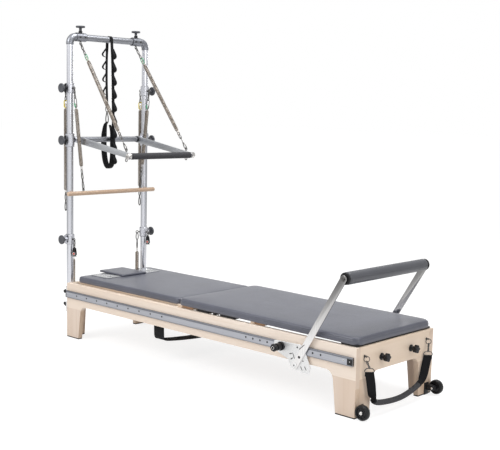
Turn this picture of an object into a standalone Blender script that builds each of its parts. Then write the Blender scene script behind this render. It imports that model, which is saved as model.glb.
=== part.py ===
"""Pilates reformer with a tower: wooden frame, sliding carriage, footbar and sprung tower.

Metres, +Z up.  +X runs from the head end, where the tower stands, to the foot end.
Every size is measured from the head-end face of the wooden frame; the empty called
reformer then moves the whole object so that its box is centred on the origin.
"""
import bpy
import bmesh
from math import atan2, cos, hypot, pi, radians, sin, tan
from mathutils import Matrix, Vector

# Clearances, the depth of a welded joint, and how far a cutter runs past a face
GAP = 0.0003
RUNNING_GAP = 0.0004
WELD = 0.001
CUT_PAST = 0.010

# Wooden frame
FRAME_LENGTH = 2.348
FRAME_WIDTH = 0.680
FRAME_TOP = 0.3555
RAIL_HEIGHT = 0.138
PLANK = 0.032
END_BOARD = 0.030
LEG_WIDTH_FOOT = 0.122
LEG_WIDTH_TOP = 0.147
END_LEG_WIDTH_FOOT = 0.122
END_LEG_WIDTH_TOP = 0.134
RAIL_FILLET = 0.050
WOOD_EDGE = 0.002
PAD_HEIGHT = 0.006
PAD_INSET = 0.003
HALF_WIDTH = FRAME_WIDTH / 2
INNER_Y = HALF_WIDTH - PLANK
RAIL_LOW = FRAME_TOP - RAIL_HEIGHT

# Tower posts and top bar
POST_X = -0.004
POST_INSET = 0.028
POST_RADIUS = 0.0212
POST_WALL = 0.003
POST_FOOT = 0.110
TOWER_TOP = 1.935
ELBOW_WALL = 0.0028
ELBOW_BEND = 0.040
ELBOW_SOCKET = 0.020
ELBOW_OVERLAP = 0.004
TOP_COLLAR_INSET = 0.082
TOP_COLLAR_LENGTH = 0.076
TOP_COLLAR_WALL = 0.0063
POST_Y = HALF_WIDTH - POST_INSET
POST_TOP = TOWER_TOP - ELBOW_BEND - ELBOW_SOCKET
ELBOW_RADIUS = POST_RADIUS + ELBOW_WALL
TOP_COLLAR_Y = POST_Y - TOP_COLLAR_INSET
TOP_COLLAR_RADIUS = POST_RADIUS + TOP_COLLAR_WALL

# Collars that are clamped on the posts
COLLAR_WALL = 0.0073
COLLAR_HEIGHT = 0.061
MID_COLLAR_HEIGHT = 0.082
UPPER_COLLAR_Z = 1.610
LOWER_COLLAR_Z = 0.640
COLLAR_RADIUS = POST_RADIUS + COLLAR_WALL

# Clamp knobs: disc, neck, screw and the boss on the collar
KNOB_RADIUS = 0.0295
KNOB_STAND = 0.0435
KNOB_RIM = 0.0025
KNOB_DEPTH = 0.012
KNOB_BEVEL = 0.003
KNOB_NECK_RADIUS = 0.009
KNOB_SCREW_RADIUS = 0.007
KNOB_BOSS_RADIUS = 0.014
KNOB_BOSS_LENGTH = 0.0095
KNOB_ROOT = 0.003
KNOB_REACH = COLLAR_RADIUS + KNOB_STAND

# Eyebolts
EYE_STAND = 0.017
EYE_RADIUS = 0.0085
EYE_WIRE = 0.0025
EYE_STEM = 0.003
EYE_ROOT = 0.004
STEM_ROOT = 0.010
TOP_EYE_GAP = 0.0015
LOWER_EYE_TURN = radians(25.0)
EYE_REACH = COLLAR_RADIUS + EYE_STAND
EYE_CENTRE_X = POST_X + EYE_REACH
TOP_EYE_REACH = TOP_COLLAR_RADIUS + EYE_RADIUS + TOP_EYE_GAP

# Post clamps on the head end
CLAMP_WALL = 0.0042
CLAMP_HEIGHT = 0.060
CLAMP_DROP = 0.0575
CLAMP_SPACING = 0.103
CLAMP_FLANGE = 0.011
CLAMP_SPINE_HALF = 0.008
CLAMP_SPINE_WALL = 0.0034
WING_REACH = 0.042
WING_HALF = 0.005
WING_THICK = 0.008
WING_STEM = 0.016
WING_HUB = 0.014
WING_SCREW_RADIUS = 0.005
WING_TILT = radians(32.0)
CLAMP_UPPER_Z = FRAME_TOP - CLAMP_DROP
CLAMP_LOWER_Z = CLAMP_UPPER_Z - CLAMP_SPACING

# Springs: wire, hooks and coils
SPRING_WIRE = 0.0022
COIL_RADIUS = 0.0105
POINTS_PER_CURL = 8
HOOK_WIDTH = 0.0072
HOOK_CLEARANCE = 0.0005
HOOK_LEG = 0.010
HOOK_BEND = 0.002
HOOK_DROP = 0.018
SNAP_LENGTH = 0.052
SNAP_HALF = 0.0085
SNAP_NECK = 0.012
SNAP_GATE = 0.026
LEG_LEAD = 0.130
LEG_COIL = 0.525
LEG_TAIL = 0.135
LEG_CURLS = 5
ROLL_LEAD = 0.125
ROLL_TAIL = 0.1526
ROLL_CURLS = 5
PUSH_LEAD = 0.150
PUSH_TAIL = 0.140
PUSH_CURLS = 5
LOWER_LEAD = 0.095
LOWER_COIL = 0.365
LOWER_TAIL = 0.045
LOWER_CURLS = 5
HOOK_SEAT = EYE_WIRE + SPRING_WIRE + HOOK_CLEARANCE

# Roll-down bar
DOWEL_OVERHANG = 0.0505
DOWEL_RADIUS = 0.014
DOWEL_Z = 0.938
DOWEL_EYE_INSET = 0.073
DOWEL_EYE_GAP = 0.001
DOWEL_EYE_DEPTH = 0.004
DOWEL_HALF = POST_Y + DOWEL_OVERHANG
DOWEL_EYE_Y = POST_Y - DOWEL_EYE_INSET
DOWEL_EYE_RISE = DOWEL_RADIUS + EYE_RADIUS + DOWEL_EYE_GAP

# Push-through bar, and the middle collars that carry it
PUSH_PIVOT_Z = 1.283
MID_COLLAR_DROP = 0.0035
PUSH_TUBE_RADIUS = 0.018
PUSH_PIN_RADIUS = 0.010
PUSH_PIN_DEPTH = 0.018
PUSH_PIN_END_GAP = 0.002
PUSH_BOSS_RADIUS = 0.021
PUSH_BOSS_LENGTH = 0.0175
PUSH_ARM_INSET = 0.0165
PUSH_ARM_WALL = 0.010
PUSH_ARM_HEIGHT = 0.046
PUSH_ARM_TIP = 0.012
PUSH_ARM_TIP_HALF = 0.016
PUSH_REACH = 0.531
PUSH_DROP = 0.084
PUSH_EYE_BACK = 0.042
PUSH_EYE_GAP = 0.0005
PUSH_EYE_START = 0.010
GRIP_RADIUS = 0.020
GRIP_BAR_RADIUS = 0.0125
GRIP_OVERHANG = 0.022
GRIP_CAP_HALF = 0.004
GRIP_CAP_RADIUS = 0.019
GRIP_RIM = 0.003
MID_COLLAR_Z = PUSH_PIVOT_Z - MID_COLLAR_DROP
PUSH_TUBE_HALF = POST_Y - COLLAR_RADIUS - PUSH_BOSS_LENGTH
PUSH_ARM_Y = PUSH_TUBE_HALF - PUSH_ARM_INSET
PUSH_EYE_RISE = PUSH_ARM_HEIGHT / 2 + EYE_RADIUS + PUSH_EYE_GAP

# Safety strap, hung so that its loop holds the push-through bar's tube
STRAP_Y = 0.005
STRAP_WIDTH = 0.026
STRAP_THICK = 0.003
STRAP_JOIN_RISE = 0.172
STRAP_BULGE = 0.026
RING_DROP = 0.026
RING_WIRE = 0.004
LOOP_DROP = 0.233
LOOP_HALF = 0.038
LOOP_WIDTH = 0.044
LOOP_THICK = 0.006
STRAP_JOIN_Z = PUSH_PIVOT_Z + STRAP_JOIN_RISE
LOOP_BOTTOM_Z = PUSH_PIVOT_Z - LOOP_DROP

# Footbar track on the outside of each plank
TRACK_DROP = 0.0485
TRACK_HEIGHT = 0.044
TRACK_DEPTH = 0.012
TRACK_INSET = 0.007
TRACK_CHAMFER = 0.003
TRACK_HOLE_RADIUS = 0.0045
TRACK_HOLE_DEPTH = 0.004
HEAD_HOLE_X = 0.120
HEAD_HOLE_PITCH = 0.1026
HEAD_HOLES = 9
STOP_HOLE_SETBACK = 0.730
STOP_HOLE_PITCH = 0.0516
STOP_HOLES = 11
STOP_AT_REST = 5
TRACK_HIGH = FRAME_TOP - TRACK_DROP
TRACK_LOW = TRACK_HIGH - TRACK_HEIGHT
TRACK_MID_Z = (TRACK_LOW + TRACK_HIGH) / 2
TRACK_OUTER_Y = HALF_WIDTH + GAP + TRACK_DEPTH
STOP_HOLE_X = FRAME_LENGTH - STOP_HOLE_SETBACK
LOCK_X = STOP_HOLE_X + STOP_AT_REST * STOP_HOLE_PITCH

# Footbar: side plates from the stop to the pivot, arms and padded bar
PLATE_WALL = 0.004
PIVOT_REACH = 0.099
PIVOT_DROP = 0.082
PIVOT_PIN_RADIUS = 0.008
PIVOT_PIN_END = 0.004
PIVOT_HEAD_RADIUS = 0.0136
PIVOT_HEAD_TOP_RADIUS = 0.0112
ARM_WALL = 0.006
ARM_WIDTH = 0.038
BAR_REACH = 0.295
BAR_RISE = 0.487
BAR_TUBE_RADIUS = 0.0165
BAR_PAD_RADIUS = 0.032
BAR_PAD_CLEARANCE = 0.015
BAR_PAD_ROUND = 0.010
BAR_BOLT_RADIUS = 0.009
BAR_BOLT_TOP_RADIUS = 0.006
BAR_BOLT_HEIGHT = 0.006
LIP_DEPTH = 0.0084
LIP_WALL = 0.0015
LOWER_LIP_WALL = 0.0047
PLATE_INNER_Y = TRACK_OUTER_Y + GAP
PLATE_OUTER_Y = PLATE_INNER_Y + PLATE_WALL
ARM_INNER_Y = PLATE_OUTER_Y + GAP
ARM_OUTER_Y = ARM_INNER_Y + ARM_WALL
PIVOT_X = LOCK_X + PIVOT_REACH
PIVOT_Z = TRACK_MID_Z - PIVOT_DROP
BAR_X = PIVOT_X + BAR_REACH
BAR_Z = PIVOT_Z + BAR_RISE
BAR_PAD_HALF = ARM_INNER_Y - BAR_PAD_CLEARANCE

# Outline of a side plate from its pivot (x, z, corner radius), its two holes and its notch
PLATE_OUTLINE = ((-0.149, 0.106, 0.006), (-0.149, 0.058, 0.008), (-0.050, 0.022, 0.010),
                 (-0.031, -0.020, 0.014), (0.018, -0.028, 0.016), (0.052, -0.012, 0.016),
                 (0.064, -0.030, 0.010), (0.092, -0.034, 0.012), (0.099, 0.004, 0.016),
                 (0.071, 0.062, 0.020), (0.032, 0.112, 0.008))
PLATE_HOLES = ((0.009, 0.094, 0.005), (0.021, 0.047, 0.006))
PLATE_NOTCH = ((-0.040, 0.050), (-0.033, 0.052), (-0.012, 0.036), (-0.017, 0.031))
UPPER_LIP = (-0.141, 0.028)
LOWER_LIP = (-0.022, 0.060)

# Pull knobs of the stops
LOCK_KNOB_RADIUS = 0.0145
LOCK_NECK_RADIUS = 0.009
LOCK_COLLAR_RADIUS = 0.0138
LOCK_PIN_RADIUS = 0.004
LOCK_BOSS_RADIUS = 0.0175
LOCK_BOSS_DEPTH = 0.016
LOCK_REACH = 0.066
LOCK_ROUND = 0.004
LOCK_KNOB_DEPTH = 0.020
LOCK_TAPER = 0.006

# Runners inside the planks, and the carriage wheels on them
RUNNER_DROP = 0.0555
RUNNER_FLANGE = 0.006
RUNNER_HEIGHT = 0.038
RUNNER_WEB = 0.004
RUNNER_WIDTH = 0.038
WHEEL_RADIUS = 0.022
WHEEL_WIDTH = 0.020
WHEEL_SETBACK = 0.006
AXLE_RADIUS = 0.005
AXLE_OVERHANG = 0.0025
AXLE_INSET = 0.115
HANGER_WALL = 0.008
HANGER_SETBACK = 0.002
HANGER_HALF = 0.016
HANGER_BELOW_AXLE = 0.011
HANGER_ROUND = 0.006
HANGER_ROOT = 0.004
RUNNER_HIGH = FRAME_TOP - RUNNER_DROP
RUNNER_LOW = RUNNER_HIGH - RUNNER_FLANGE
RUNNER_WEB_LOW = RUNNER_HIGH - RUNNER_HEIGHT
RUNNER_INNER_Y = INNER_Y - RUNNER_WIDTH
WHEEL_INNER_Y = RUNNER_INNER_Y + WHEEL_SETBACK
WHEEL_OUTER_Y = WHEEL_INNER_Y + WHEEL_WIDTH
HANGER_INNER_Y = RUNNER_INNER_Y - HANGER_SETBACK - HANGER_WALL
AXLE_Z = RUNNER_HIGH + GAP + WHEEL_RADIUS

# Carriage
CARRIAGE_HEAD = 0.085
CARRIAGE_LENGTH = 0.955
CARRIAGE_SIDE_GAP = 0.003
BOARD_WHEEL_GAP = 0.0057
BOARD_WALL = 0.018
BOARD_SETBACK = 0.005
CARRIAGE_PAD_THICK = 0.037
CARRIAGE_PAD_CORNER = 0.030
CARRIAGE_PAD_EDGE = 0.012
PAD_CROWN = 0.0015
PAD_DRAW_IN = 0.0015
CARRIAGE_FOOT = CARRIAGE_HEAD + CARRIAGE_LENGTH
CARRIAGE_HALF = INNER_Y - CARRIAGE_SIDE_GAP
CARRIAGE_BOARD_LOW = AXLE_Z + WHEEL_RADIUS + BOARD_WHEEL_GAP
CARRIAGE_BOARD_HIGH = CARRIAGE_BOARD_LOW + BOARD_WALL
CARRIAGE_PAD_TOP = CARRIAGE_BOARD_HIGH + CARRIAGE_PAD_THICK

# Headrest and the socket plates of the shoulder rests
HEADREST_OVERHANG = 0.055
HEADREST_LENGTH = 0.250
HEADREST_HALF = 0.100
HEADREST_THICK = 0.014
HEADREST_CORNER = 0.012
HEADREST_EDGE = 0.005
HEADREST_CROWN = 0.002
HEADREST_DRAW_IN = 0.001
SHOULDER_INSET = 0.015
SHOULDER_LENGTH = 0.170
SHOULDER_WIDTH = 0.120
SHOULDER_GAP = 0.005
SHOULDER_WALL = 0.003
SHOULDER_CORNER = 0.010
SHOULDER_HOLE = 0.011
SHOULDER_HOLE_INSET = 0.045
SHOULDER_SCREW = 0.0044
SHOULDER_SCREW_INSET = 0.015
HEADREST_HEAD = CARRIAGE_HEAD - HEADREST_OVERHANG
HEADREST_FOOT = HEADREST_HEAD + HEADREST_LENGTH
SHOULDER_HEAD = CARRIAGE_HEAD + SHOULDER_INSET
SHOULDER_FOOT = SHOULDER_HEAD + SHOULDER_LENGTH
SHOULDER_INNER_Y = HEADREST_HALF + SHOULDER_GAP
SHOULDER_OUTER_Y = SHOULDER_INNER_Y + SHOULDER_WIDTH

# Springs under the carriage, and the bar they hook on at the foot end
PACK_SPACING = 0.080
PACK_COUNT = 4
PACK_AXLE_GAP = 0.0023
PACK_SPRING_RADIUS = 0.010
PACK_ANCHOR_INSET = 0.475
PACK_RACK_INSET = 0.050
PACK_BAR_WALL = 0.012
PACK_BAR_BELOW = 0.003
PACK_ROOT = 0.005
PACK_OVERHANG = 0.080
PACK_HOOK_LENGTH = 0.065
SPRING_BAR_SETBACK = 0.213
SPRING_BAR_DROP = 0.002
SPRING_BAR_RADIUS = 0.008
PACK_Z = AXLE_Z - AXLE_RADIUS - PACK_AXLE_GAP - PACK_SPRING_RADIUS
PACK_ANCHOR_X = CARRIAGE_HEAD + PACK_ANCHOR_INSET
PACK_RACK_X = CARRIAGE_FOOT - PACK_RACK_INSET
PACK_SPRING_END = CARRIAGE_FOOT + PACK_OVERHANG
PACK_HOOK_END = PACK_SPRING_END + PACK_HOOK_LENGTH
SPRING_BAR_X = FRAME_LENGTH - SPRING_BAR_SETBACK
SPRING_BAR_Z = RUNNER_HIGH - SPRING_BAR_DROP

# Long mat over the foot end, on a panel with three battens
MAT_CLEARANCE = 0.005
MAT_SETBACK = 0.005
MAT_EDGE_INSET = 0.012
MAT_PANEL_RISE = 0.0055
MAT_PANEL_WALL = 0.011
MAT_PANEL_INSET = 0.010
MAT_PAD_THICK = 0.0427
MAT_PAD_CORNER = 0.040
MAT_PAD_EDGE = 0.016
BATTEN_INSET = 0.018
BATTEN_OVERHANG = 0.060
BATTEN_SETBACK = 0.005
HEAD_BATTEN = 0.042
MIDDLE_BATTEN = 0.045
MIDDLE_BATTEN_REACH = 0.455
FOOT_BATTEN = 0.103
MAT_HEAD = CARRIAGE_FOOT + MAT_CLEARANCE
MAT_FOOT = FRAME_LENGTH - MAT_SETBACK
MAT_HALF = HALF_WIDTH - MAT_EDGE_INSET
MAT_PANEL_LOW = FRAME_TOP + MAT_PANEL_RISE
MAT_PAD_LOW = MAT_PANEL_LOW + MAT_PANEL_WALL + GAP
MAT_PAD_TOP = MAT_PAD_LOW + MAT_PAD_THICK
MAT_BATTEN_HALF = HALF_WIDTH - BATTEN_INSET
MAT_PANEL_HALF = MAT_BATTEN_HALF - BATTEN_OVERHANG
HEAD_BATTEN_X = MAT_HEAD + BATTEN_SETBACK
MIDDLE_BATTEN_X = MAT_HEAD + MIDDLE_BATTEN_REACH
FOOT_BATTEN_X = MAT_FOOT - BATTEN_SETBACK - FOOT_BATTEN
MAT_BATTENS = ((HEAD_BATTEN_X, HEAD_BATTEN), (MIDDLE_BATTEN_X, MIDDLE_BATTEN),
               (FOOT_BATTEN_X, FOOT_BATTEN))

# Webbing under the frame, from inside one plank to the other
UNDER_STRAP_X = 0.865
UNDER_STRAP_WIDTH = 0.090
UNDER_STRAP_RISE = 0.0375
UNDER_STRAP_THICK = 0.004
UNDER_STRAP_SAG = ((0.010, 0.0675), (0.055, 0.0995), (0.168, 0.1145))
UNDER_STRAP_DEPTH = 0.1225
UNDER_STRAP_TOP = RAIL_LOW + UNDER_STRAP_RISE

# Foot-end strap, its eyebolts, snap hooks, rings and padded handle
FOOT_EYE_INSET = 0.065
FOOT_EYE_DROP = 0.0485
FOOT_EYE_RADIUS = 0.0135
FOOT_STRAP_OFFSET = 0.037
FOOT_STRAP_WIDTH = 0.036
FOOT_STRAP_THICK = 0.005
FOOT_RING_DROP = 0.071
FOOT_RING_INSET = 0.009
FOOT_RING_HALF = 0.024
FOOT_RING_WIRE = 0.003
FOOT_STRAP_CURVE = ((0.020, 0.170), (0.040, 0.108), (0.075, 0.078), (0.165, 0.060))
FOOT_STRAP_BOTTOM = 0.052
HANDLE_RADIUS = 0.013
HANDLE_TOP = 0.095
SNAP_WIDTH = 0.009
FOOT_HOOK = ((0.0, -1.0, 0.012), (0.0, -0.94, 0.003), (0.0, 0.0, 0.0), (0.0, 0.94, 0.003),
             (0.0, 1.0, 0.016), (0.008, -0.1, 0.034))
FOOT_EYE_Y = HALF_WIDTH - FOOT_EYE_INSET
FOOT_EYE_Z = FRAME_TOP - FOOT_EYE_DROP
FOOT_STRAP_X = FRAME_LENGTH + FOOT_STRAP_OFFSET
FOOT_RING_Y = FOOT_EYE_Y - FOOT_RING_INSET
FOOT_RING_Z = FOOT_EYE_Z - FOOT_RING_DROP

# Star knobs on the foot board
STAR_Y = 0.130
STAR_DROP = 0.0745
STAR_RADIUS = 0.0225
STAR_LOBES = 5
STAR_STAND = 0.036
STAR_HEIGHT = 0.030
STAR_NECK_RADIUS = 0.009
STAR_SCREW_RADIUS = 0.004
STAR_SCREW_DEPTH = 0.018
STAR_BASE_RADIUS = 0.0185
STAR_BASE_WALL = 0.006
STAR_Z = FRAME_TOP - STAR_DROP

# Transport wheels and their brackets
CASTOR_RADIUS = 0.039
CASTOR_OFFSET = 0.0405
CASTOR_FLOOR_GAP = 0.0025
CASTOR_WIDTH = 0.030
CASTOR_SIDE_GAP = 0.004
CASTOR_ROUND = 0.006
CASTOR_AXLE = 0.005
CASTOR_CAP = 0.009
CASTOR_CAP_WALL = 0.004
BRACKET_INSET = 0.029
BRACKET_WIDTH = 0.039
BRACKET_LOW = 0.018
BRACKET_HEIGHT = 0.048
BRACKET_PAST_AXLE = 0.0155
BRACKET_WALL = 0.004
BRACKET_OUTER_Y = HALF_WIDTH - BRACKET_INSET
BRACKET_INNER_Y = BRACKET_OUTER_Y - BRACKET_WIDTH
BRACKET_HIGH = BRACKET_LOW + BRACKET_HEIGHT
BRACKET_REACH = CASTOR_OFFSET + BRACKET_PAST_AXLE
CASTOR_X = FRAME_LENGTH + CASTOR_OFFSET
CASTOR_Z = CASTOR_RADIUS + CASTOR_FLOOR_GAP
CASTOR_INNER_Y = BRACKET_OUTER_Y + CASTOR_SIDE_GAP
CASTOR_OUTER_Y = CASTOR_INNER_Y + CASTOR_WIDTH

# Pulleys on the lower collars
PULLEY_WIDTH = 0.030
PULLEY_HEIGHT = 0.046
PULLEY_DEPTH = 0.013
PULLEY_SLOT = 0.0035
PULLEY_SHOULDER = 0.010
PULLEY_NECK = 0.020
PULLEY_NECK_ROUND = 0.004
SHEAVE_RADIUS = 0.01125
SWIVEL_RADIUS = 0.0042
PULLEY_BOLT_RADIUS = 0.004
PULLEY_BOLT_PROUD = 0.002

# Roundness
ROUND = 20
ROUND_COLLAR = 14
ROUND_BAR = 12
ROUND_SMALL = 8
ROUND_FINE = 6
ROUND_KNOB = 10
EYE_STEPS = 8
EYE_SIDES = 4
FOOT_EYE_STEPS = 10
FILLET_STEPS = 3
ARC_STEPS = 6
HOLE_SIDES = 5
WHEEL_SIDES = 12
CASTOR_SIDES = 16
PAD_SHARP = 50.0

# The box of the whole object along X is centred on the origin
CLAMP_INNER = (POST_RADIUS + GAP) / cos(pi / (2 * ARC_STEPS))
CLAMP_OUTER = CLAMP_INNER + CLAMP_WALL
WING_TIP_X = POST_X - CLAMP_OUTER - WING_REACH
CASTOR_TIP_X = CASTOR_X + CASTOR_RADIUS
HEAD_X = -(WING_TIP_X + CASTOR_TIP_X) / 2
SIDES = (("near", -1.0), ("far", 1.0))

# Colours: base colour, roughness, metallic
MAPLE = ((0.80, 0.66, 0.52, 1.0), 0.45, 0.0)
PLYWOOD = ((0.42, 0.26, 0.15, 1.0), 0.60, 0.0)
VINYL = ((0.17, 0.18, 0.21, 1.0), 0.45, 0.0)
ALUMINIUM = ((0.62, 0.63, 0.67, 1.0), 0.35, 1.0)
ELBOW_GREY = ((0.30, 0.30, 0.32, 1.0), 0.45, 0.8)
STEEL = ((0.75, 0.75, 0.76, 1.0), 0.25, 1.0)
SPRING_STEEL = ((0.52, 0.47, 0.42, 1.0), 0.30, 1.0)
BLACK_PLASTIC = ((0.03, 0.03, 0.035, 1.0), 0.45, 0.0)
WEBBING = ((0.015, 0.015, 0.017, 1.0), 0.85, 0.0)
FOAM = ((0.05, 0.05, 0.055, 1.0), 0.80, 0.0)
DOWEL_WOOD = ((0.72, 0.52, 0.36, 1.0), 0.50, 0.0)
RUBBER = ((0.02, 0.02, 0.02, 1.0), 0.80, 0.0)

# Turns that lay a flat outline in a plane: along the side, or across the end
ALONG_SIDE = Matrix.Rotation(pi / 2, 4, 'X')
ACROSS_END = Matrix(((0, 0, 1, 0), (1, 0, 0, 0), (0, 1, 0, 0), (0, 0, 0, 1)))


def clear_scene():
    for obj in list(bpy.data.objects):
        bpy.data.objects.remove(obj, do_unlink=True)


def new_collection(name):
    collection = bpy.data.collections.new(name)
    bpy.context.scene.collection.children.link(collection)
    return collection


def principled(name, look):
    colour, roughness, metallic = look
    material = bpy.data.materials.new(name)
    material.use_nodes = True
    shader = material.node_tree.nodes["Principled BSDF"]
    shader.inputs["Base Color"].default_value = colour
    shader.inputs["Roughness"].default_value = roughness
    shader.inputs["Metallic"].default_value = metallic
    material.diffuse_color = colour
    return material


def mesh_object(name, mesh):
    obj = bpy.data.objects.new(name, mesh)
    parts.objects.link(obj)
    return obj


def from_bmesh(name, work):
    mesh = bpy.data.meshes.new(name)
    bmesh.ops.recalc_face_normals(work, faces=work.faces[:])
    if work.calc_volume(signed=True) < 0:
        bmesh.ops.reverse_faces(work, faces=work.faces[:])
    work.to_mesh(mesh)
    work.free()
    return mesh_object(name, mesh)


def bake(obj, weld=0.00001):
    """Replace an object by the mesh that its modifiers or its curve give."""
    bpy.context.view_layer.update()
    depsgraph = bpy.context.evaluated_depsgraph_get()
    mesh = bpy.data.meshes.new_from_object(obj.evaluated_get(depsgraph))
    work = bmesh.new()
    work.from_mesh(mesh)
    work.transform(obj.matrix_world)
    bmesh.ops.remove_doubles(work, verts=work.verts[:], dist=weld)
    name = obj.name
    bpy.data.objects.remove(obj, do_unlink=True)
    bpy.data.meshes.remove(mesh)
    return from_bmesh(name, work)


def combine(obj, tools, operation):
    """Join bodies to an object, or cut them out of it, and remove the tools."""
    name = obj.name
    for tool in tools:
        for old in tool.users_collection:
            old.objects.unlink(tool)
        cutters.objects.link(tool)
        tool.hide_render = True
        tool.display_type = 'WIRE'
        modifier = obj.modifiers.new(operation.lower(), 'BOOLEAN')
        modifier.operation = operation
        modifier.solver = 'EXACT'
        modifier.object = tool
    result = bake(obj)
    for tool in tools:
        bpy.data.objects.remove(tool, do_unlink=True)
    result.name = name
    return result


def join(obj, tools):
    return combine(obj, tools, 'UNION')


def cut(obj, tools):
    return combine(obj, tools, 'DIFFERENCE')


def box(name, low, high):
    low = Vector(low)
    high = Vector(high)
    work = bmesh.new()
    bmesh.ops.create_cube(work, size=1.0)
    bmesh.ops.scale(work, vec=high - low, verts=work.verts[:])
    bmesh.ops.translate(work, vec=(low + high) / 2, verts=work.verts[:])
    return from_bmesh(name, work)


def side_box(name, side, low, high):
    """A box given for the far side, mirrored to the near side where side is -1."""
    ends = sorted((side * low[1], side * high[1]))
    return box(name, (low[0], ends[0], low[2]), (high[0], ends[1], high[2]))


def aim(start, direction):
    """A matrix that turns +Z to a direction and moves the origin to a start."""
    turn = Vector((0, 0, 1)).rotation_difference(Vector(direction).normalized())
    return Matrix.Translation(Vector(start)) @ turn.to_matrix().to_4x4()


def bore_radius(radius, gap, sides):
    """The corner radius of a faceted bore whose flats clear a shaft by a gap."""
    return (radius + gap) / cos(pi / sides)


def rod(name, start, end, radius, sides=ROUND, end_radius=None):
    start = Vector(start)
    end = Vector(end)
    length = (end - start).length
    top = radius if end_radius is None else end_radius
    work = bmesh.new()
    bmesh.ops.create_cone(work, cap_ends=True, segments=sides, radius1=radius, radius2=top,
                          depth=length)
    bmesh.ops.translate(work, vec=(0, 0, length / 2), verts=work.verts[:])
    work.transform(aim(start, end - start))
    return from_bmesh(name, work)


def turned(name, profile, start, direction, sides=ROUND_KNOB, closed=False):
    """Turn a profile of (radius, height) points about a line through start."""
    mesh = bpy.data.meshes.new(name)
    points = [(radius, 0.0, height) for radius, height in profile]
    edges = [(i, i + 1) for i in range(len(points) - 1)]
    if closed:
        edges.append((len(points) - 1, 0))
    mesh.from_pydata(points, edges, [])
    obj = mesh_object(name, mesh)
    screw = obj.modifiers.new("turn", 'SCREW')
    screw.axis = 'Z'
    screw.steps = sides
    screw.render_steps = sides
    screw.use_merge_vertices = True
    screw.merge_threshold = 0.00001
    obj.matrix_world = aim(start, direction)
    return bake(obj)


def torus(name, centre, axis, major, minor, steps=EYE_STEPS, sides=EYE_SIDES):
    profile = []
    for i in range(sides):
        angle = -2 * pi * i / sides
        profile.append((major + minor * cos(angle), minor * sin(angle)))
    return turned(name, profile, centre, axis, steps, closed=True)


def rounded(corners, steps=FILLET_STEPS):
    """A polygon's corners (x, y, radius), each rounded by an arc of its radius."""
    points = []
    count = len(corners)
    for i, (x, y, radius) in enumerate(corners):
        here = Vector((x, y))
        if radius <= 0:
            points.append((x, y))
            continue
        before = (Vector(corners[i - 1][:2]) - here).normalized()
        after = (Vector(corners[(i + 1) % count][:2]) - here).normalized()
        half = before.angle(after) / 2
        centre = here + (before + after).normalized() * (radius / sin(half))
        start = here + before * (radius / tan(half)) - centre
        end = here + after * (radius / tan(half)) - centre
        first = atan2(start.y, start.x)
        sweep = atan2(end.y, end.x) - first
        sweep = (sweep + pi) % (2 * pi) - pi
        for k in range(steps + 1):
            angle = first + sweep * k / steps
            points.append((centre.x + radius * cos(angle), centre.y + radius * sin(angle)))
    return points


def circle(x, y, radius, sides=ROUND_SMALL):
    return [(x + radius * cos(2 * pi * i / sides), y + radius * sin(2 * pi * i / sides))
            for i in range(sides)]


def plate(name, outlines, low, high, plane):
    """A flat outline, with any holes, extruded from low to high along its normal."""
    curve = bpy.data.curves.new(name, 'CURVE')
    curve.dimensions = '2D'
    curve.fill_mode = 'BOTH'
    curve.extrude = (high - low) / 2
    for outline in outlines:
        spline = curve.splines.new('POLY')
        spline.points.add(len(outline) - 1)
        for point, (x, y) in zip(spline.points, outline):
            point.co = (x, y, 0.0, 1.0)
        spline.use_cyclic_u = True
    obj = bpy.data.objects.new(name, curve)
    parts.objects.link(obj)
    obj.matrix_world = plane @ Matrix.Translation((0, 0, (low + high) / 2))
    return bake(obj)


def side_plate(name, outlines, side, inner, outer):
    """A plate in the XZ plane between two distances from the middle of the object."""
    low, high = sorted((-side * inner, -side * outer))
    return plate(name, outlines, low, high, ALONG_SIDE)


def wire(name, points, radius, resolution=1):
    curve = bpy.data.curves.new(name, 'CURVE')
    curve.dimensions = '3D'
    curve.bevel_depth = radius
    curve.bevel_resolution = resolution
    curve.use_fill_caps = True
    spline = curve.splines.new('POLY')
    spline.points.add(len(points) - 1)
    for point, place in zip(spline.points, points):
        point.co = (place[0], place[1], place[2], 1.0)
    obj = bpy.data.objects.new(name, curve)
    parts.objects.link(obj)
    return bake(obj)


def band(name, path, across, width, thick, closed=False):
    """A flat strap: a path of points, widened along one direction and thickened."""
    across = Vector(across) * (width / 2)
    work = bmesh.new()
    rows = []
    for place in path:
        place = Vector(place)
        rows.append((work.verts.new(place - across), work.verts.new(place + across)))
    pairs = list(zip(rows, rows[1:]))
    if closed:
        pairs.append((rows[-1], rows[0]))
    for (a, b), (c, d) in pairs:
        work.faces.new((a, b, d, c))
    obj = from_bmesh(name, work)
    solid = obj.modifiers.new("thickness", 'SOLIDIFY')
    solid.thickness = thick
    solid.offset = 0.0
    solid.use_even_offset = True
    return bake(obj)


def smooth_path(points, steps):
    """Points on a smooth curve through the given ones."""
    places = [Vector(p) for p in points]
    places = [2 * places[0] - places[1]] + places + [2 * places[-1] - places[-2]]
    path = []
    for a, b, c, d in zip(places, places[1:], places[2:], places[3:]):
        for k in range(steps):
            t = k / steps
            path.append(0.5 * ((2 * b) + (c - a) * t + (2 * a - 5 * b + 4 * c - d) * t * t
                               + (3 * b - a - 3 * c + d) * t ** 3))
    path.append(places[-2])
    return path


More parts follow.
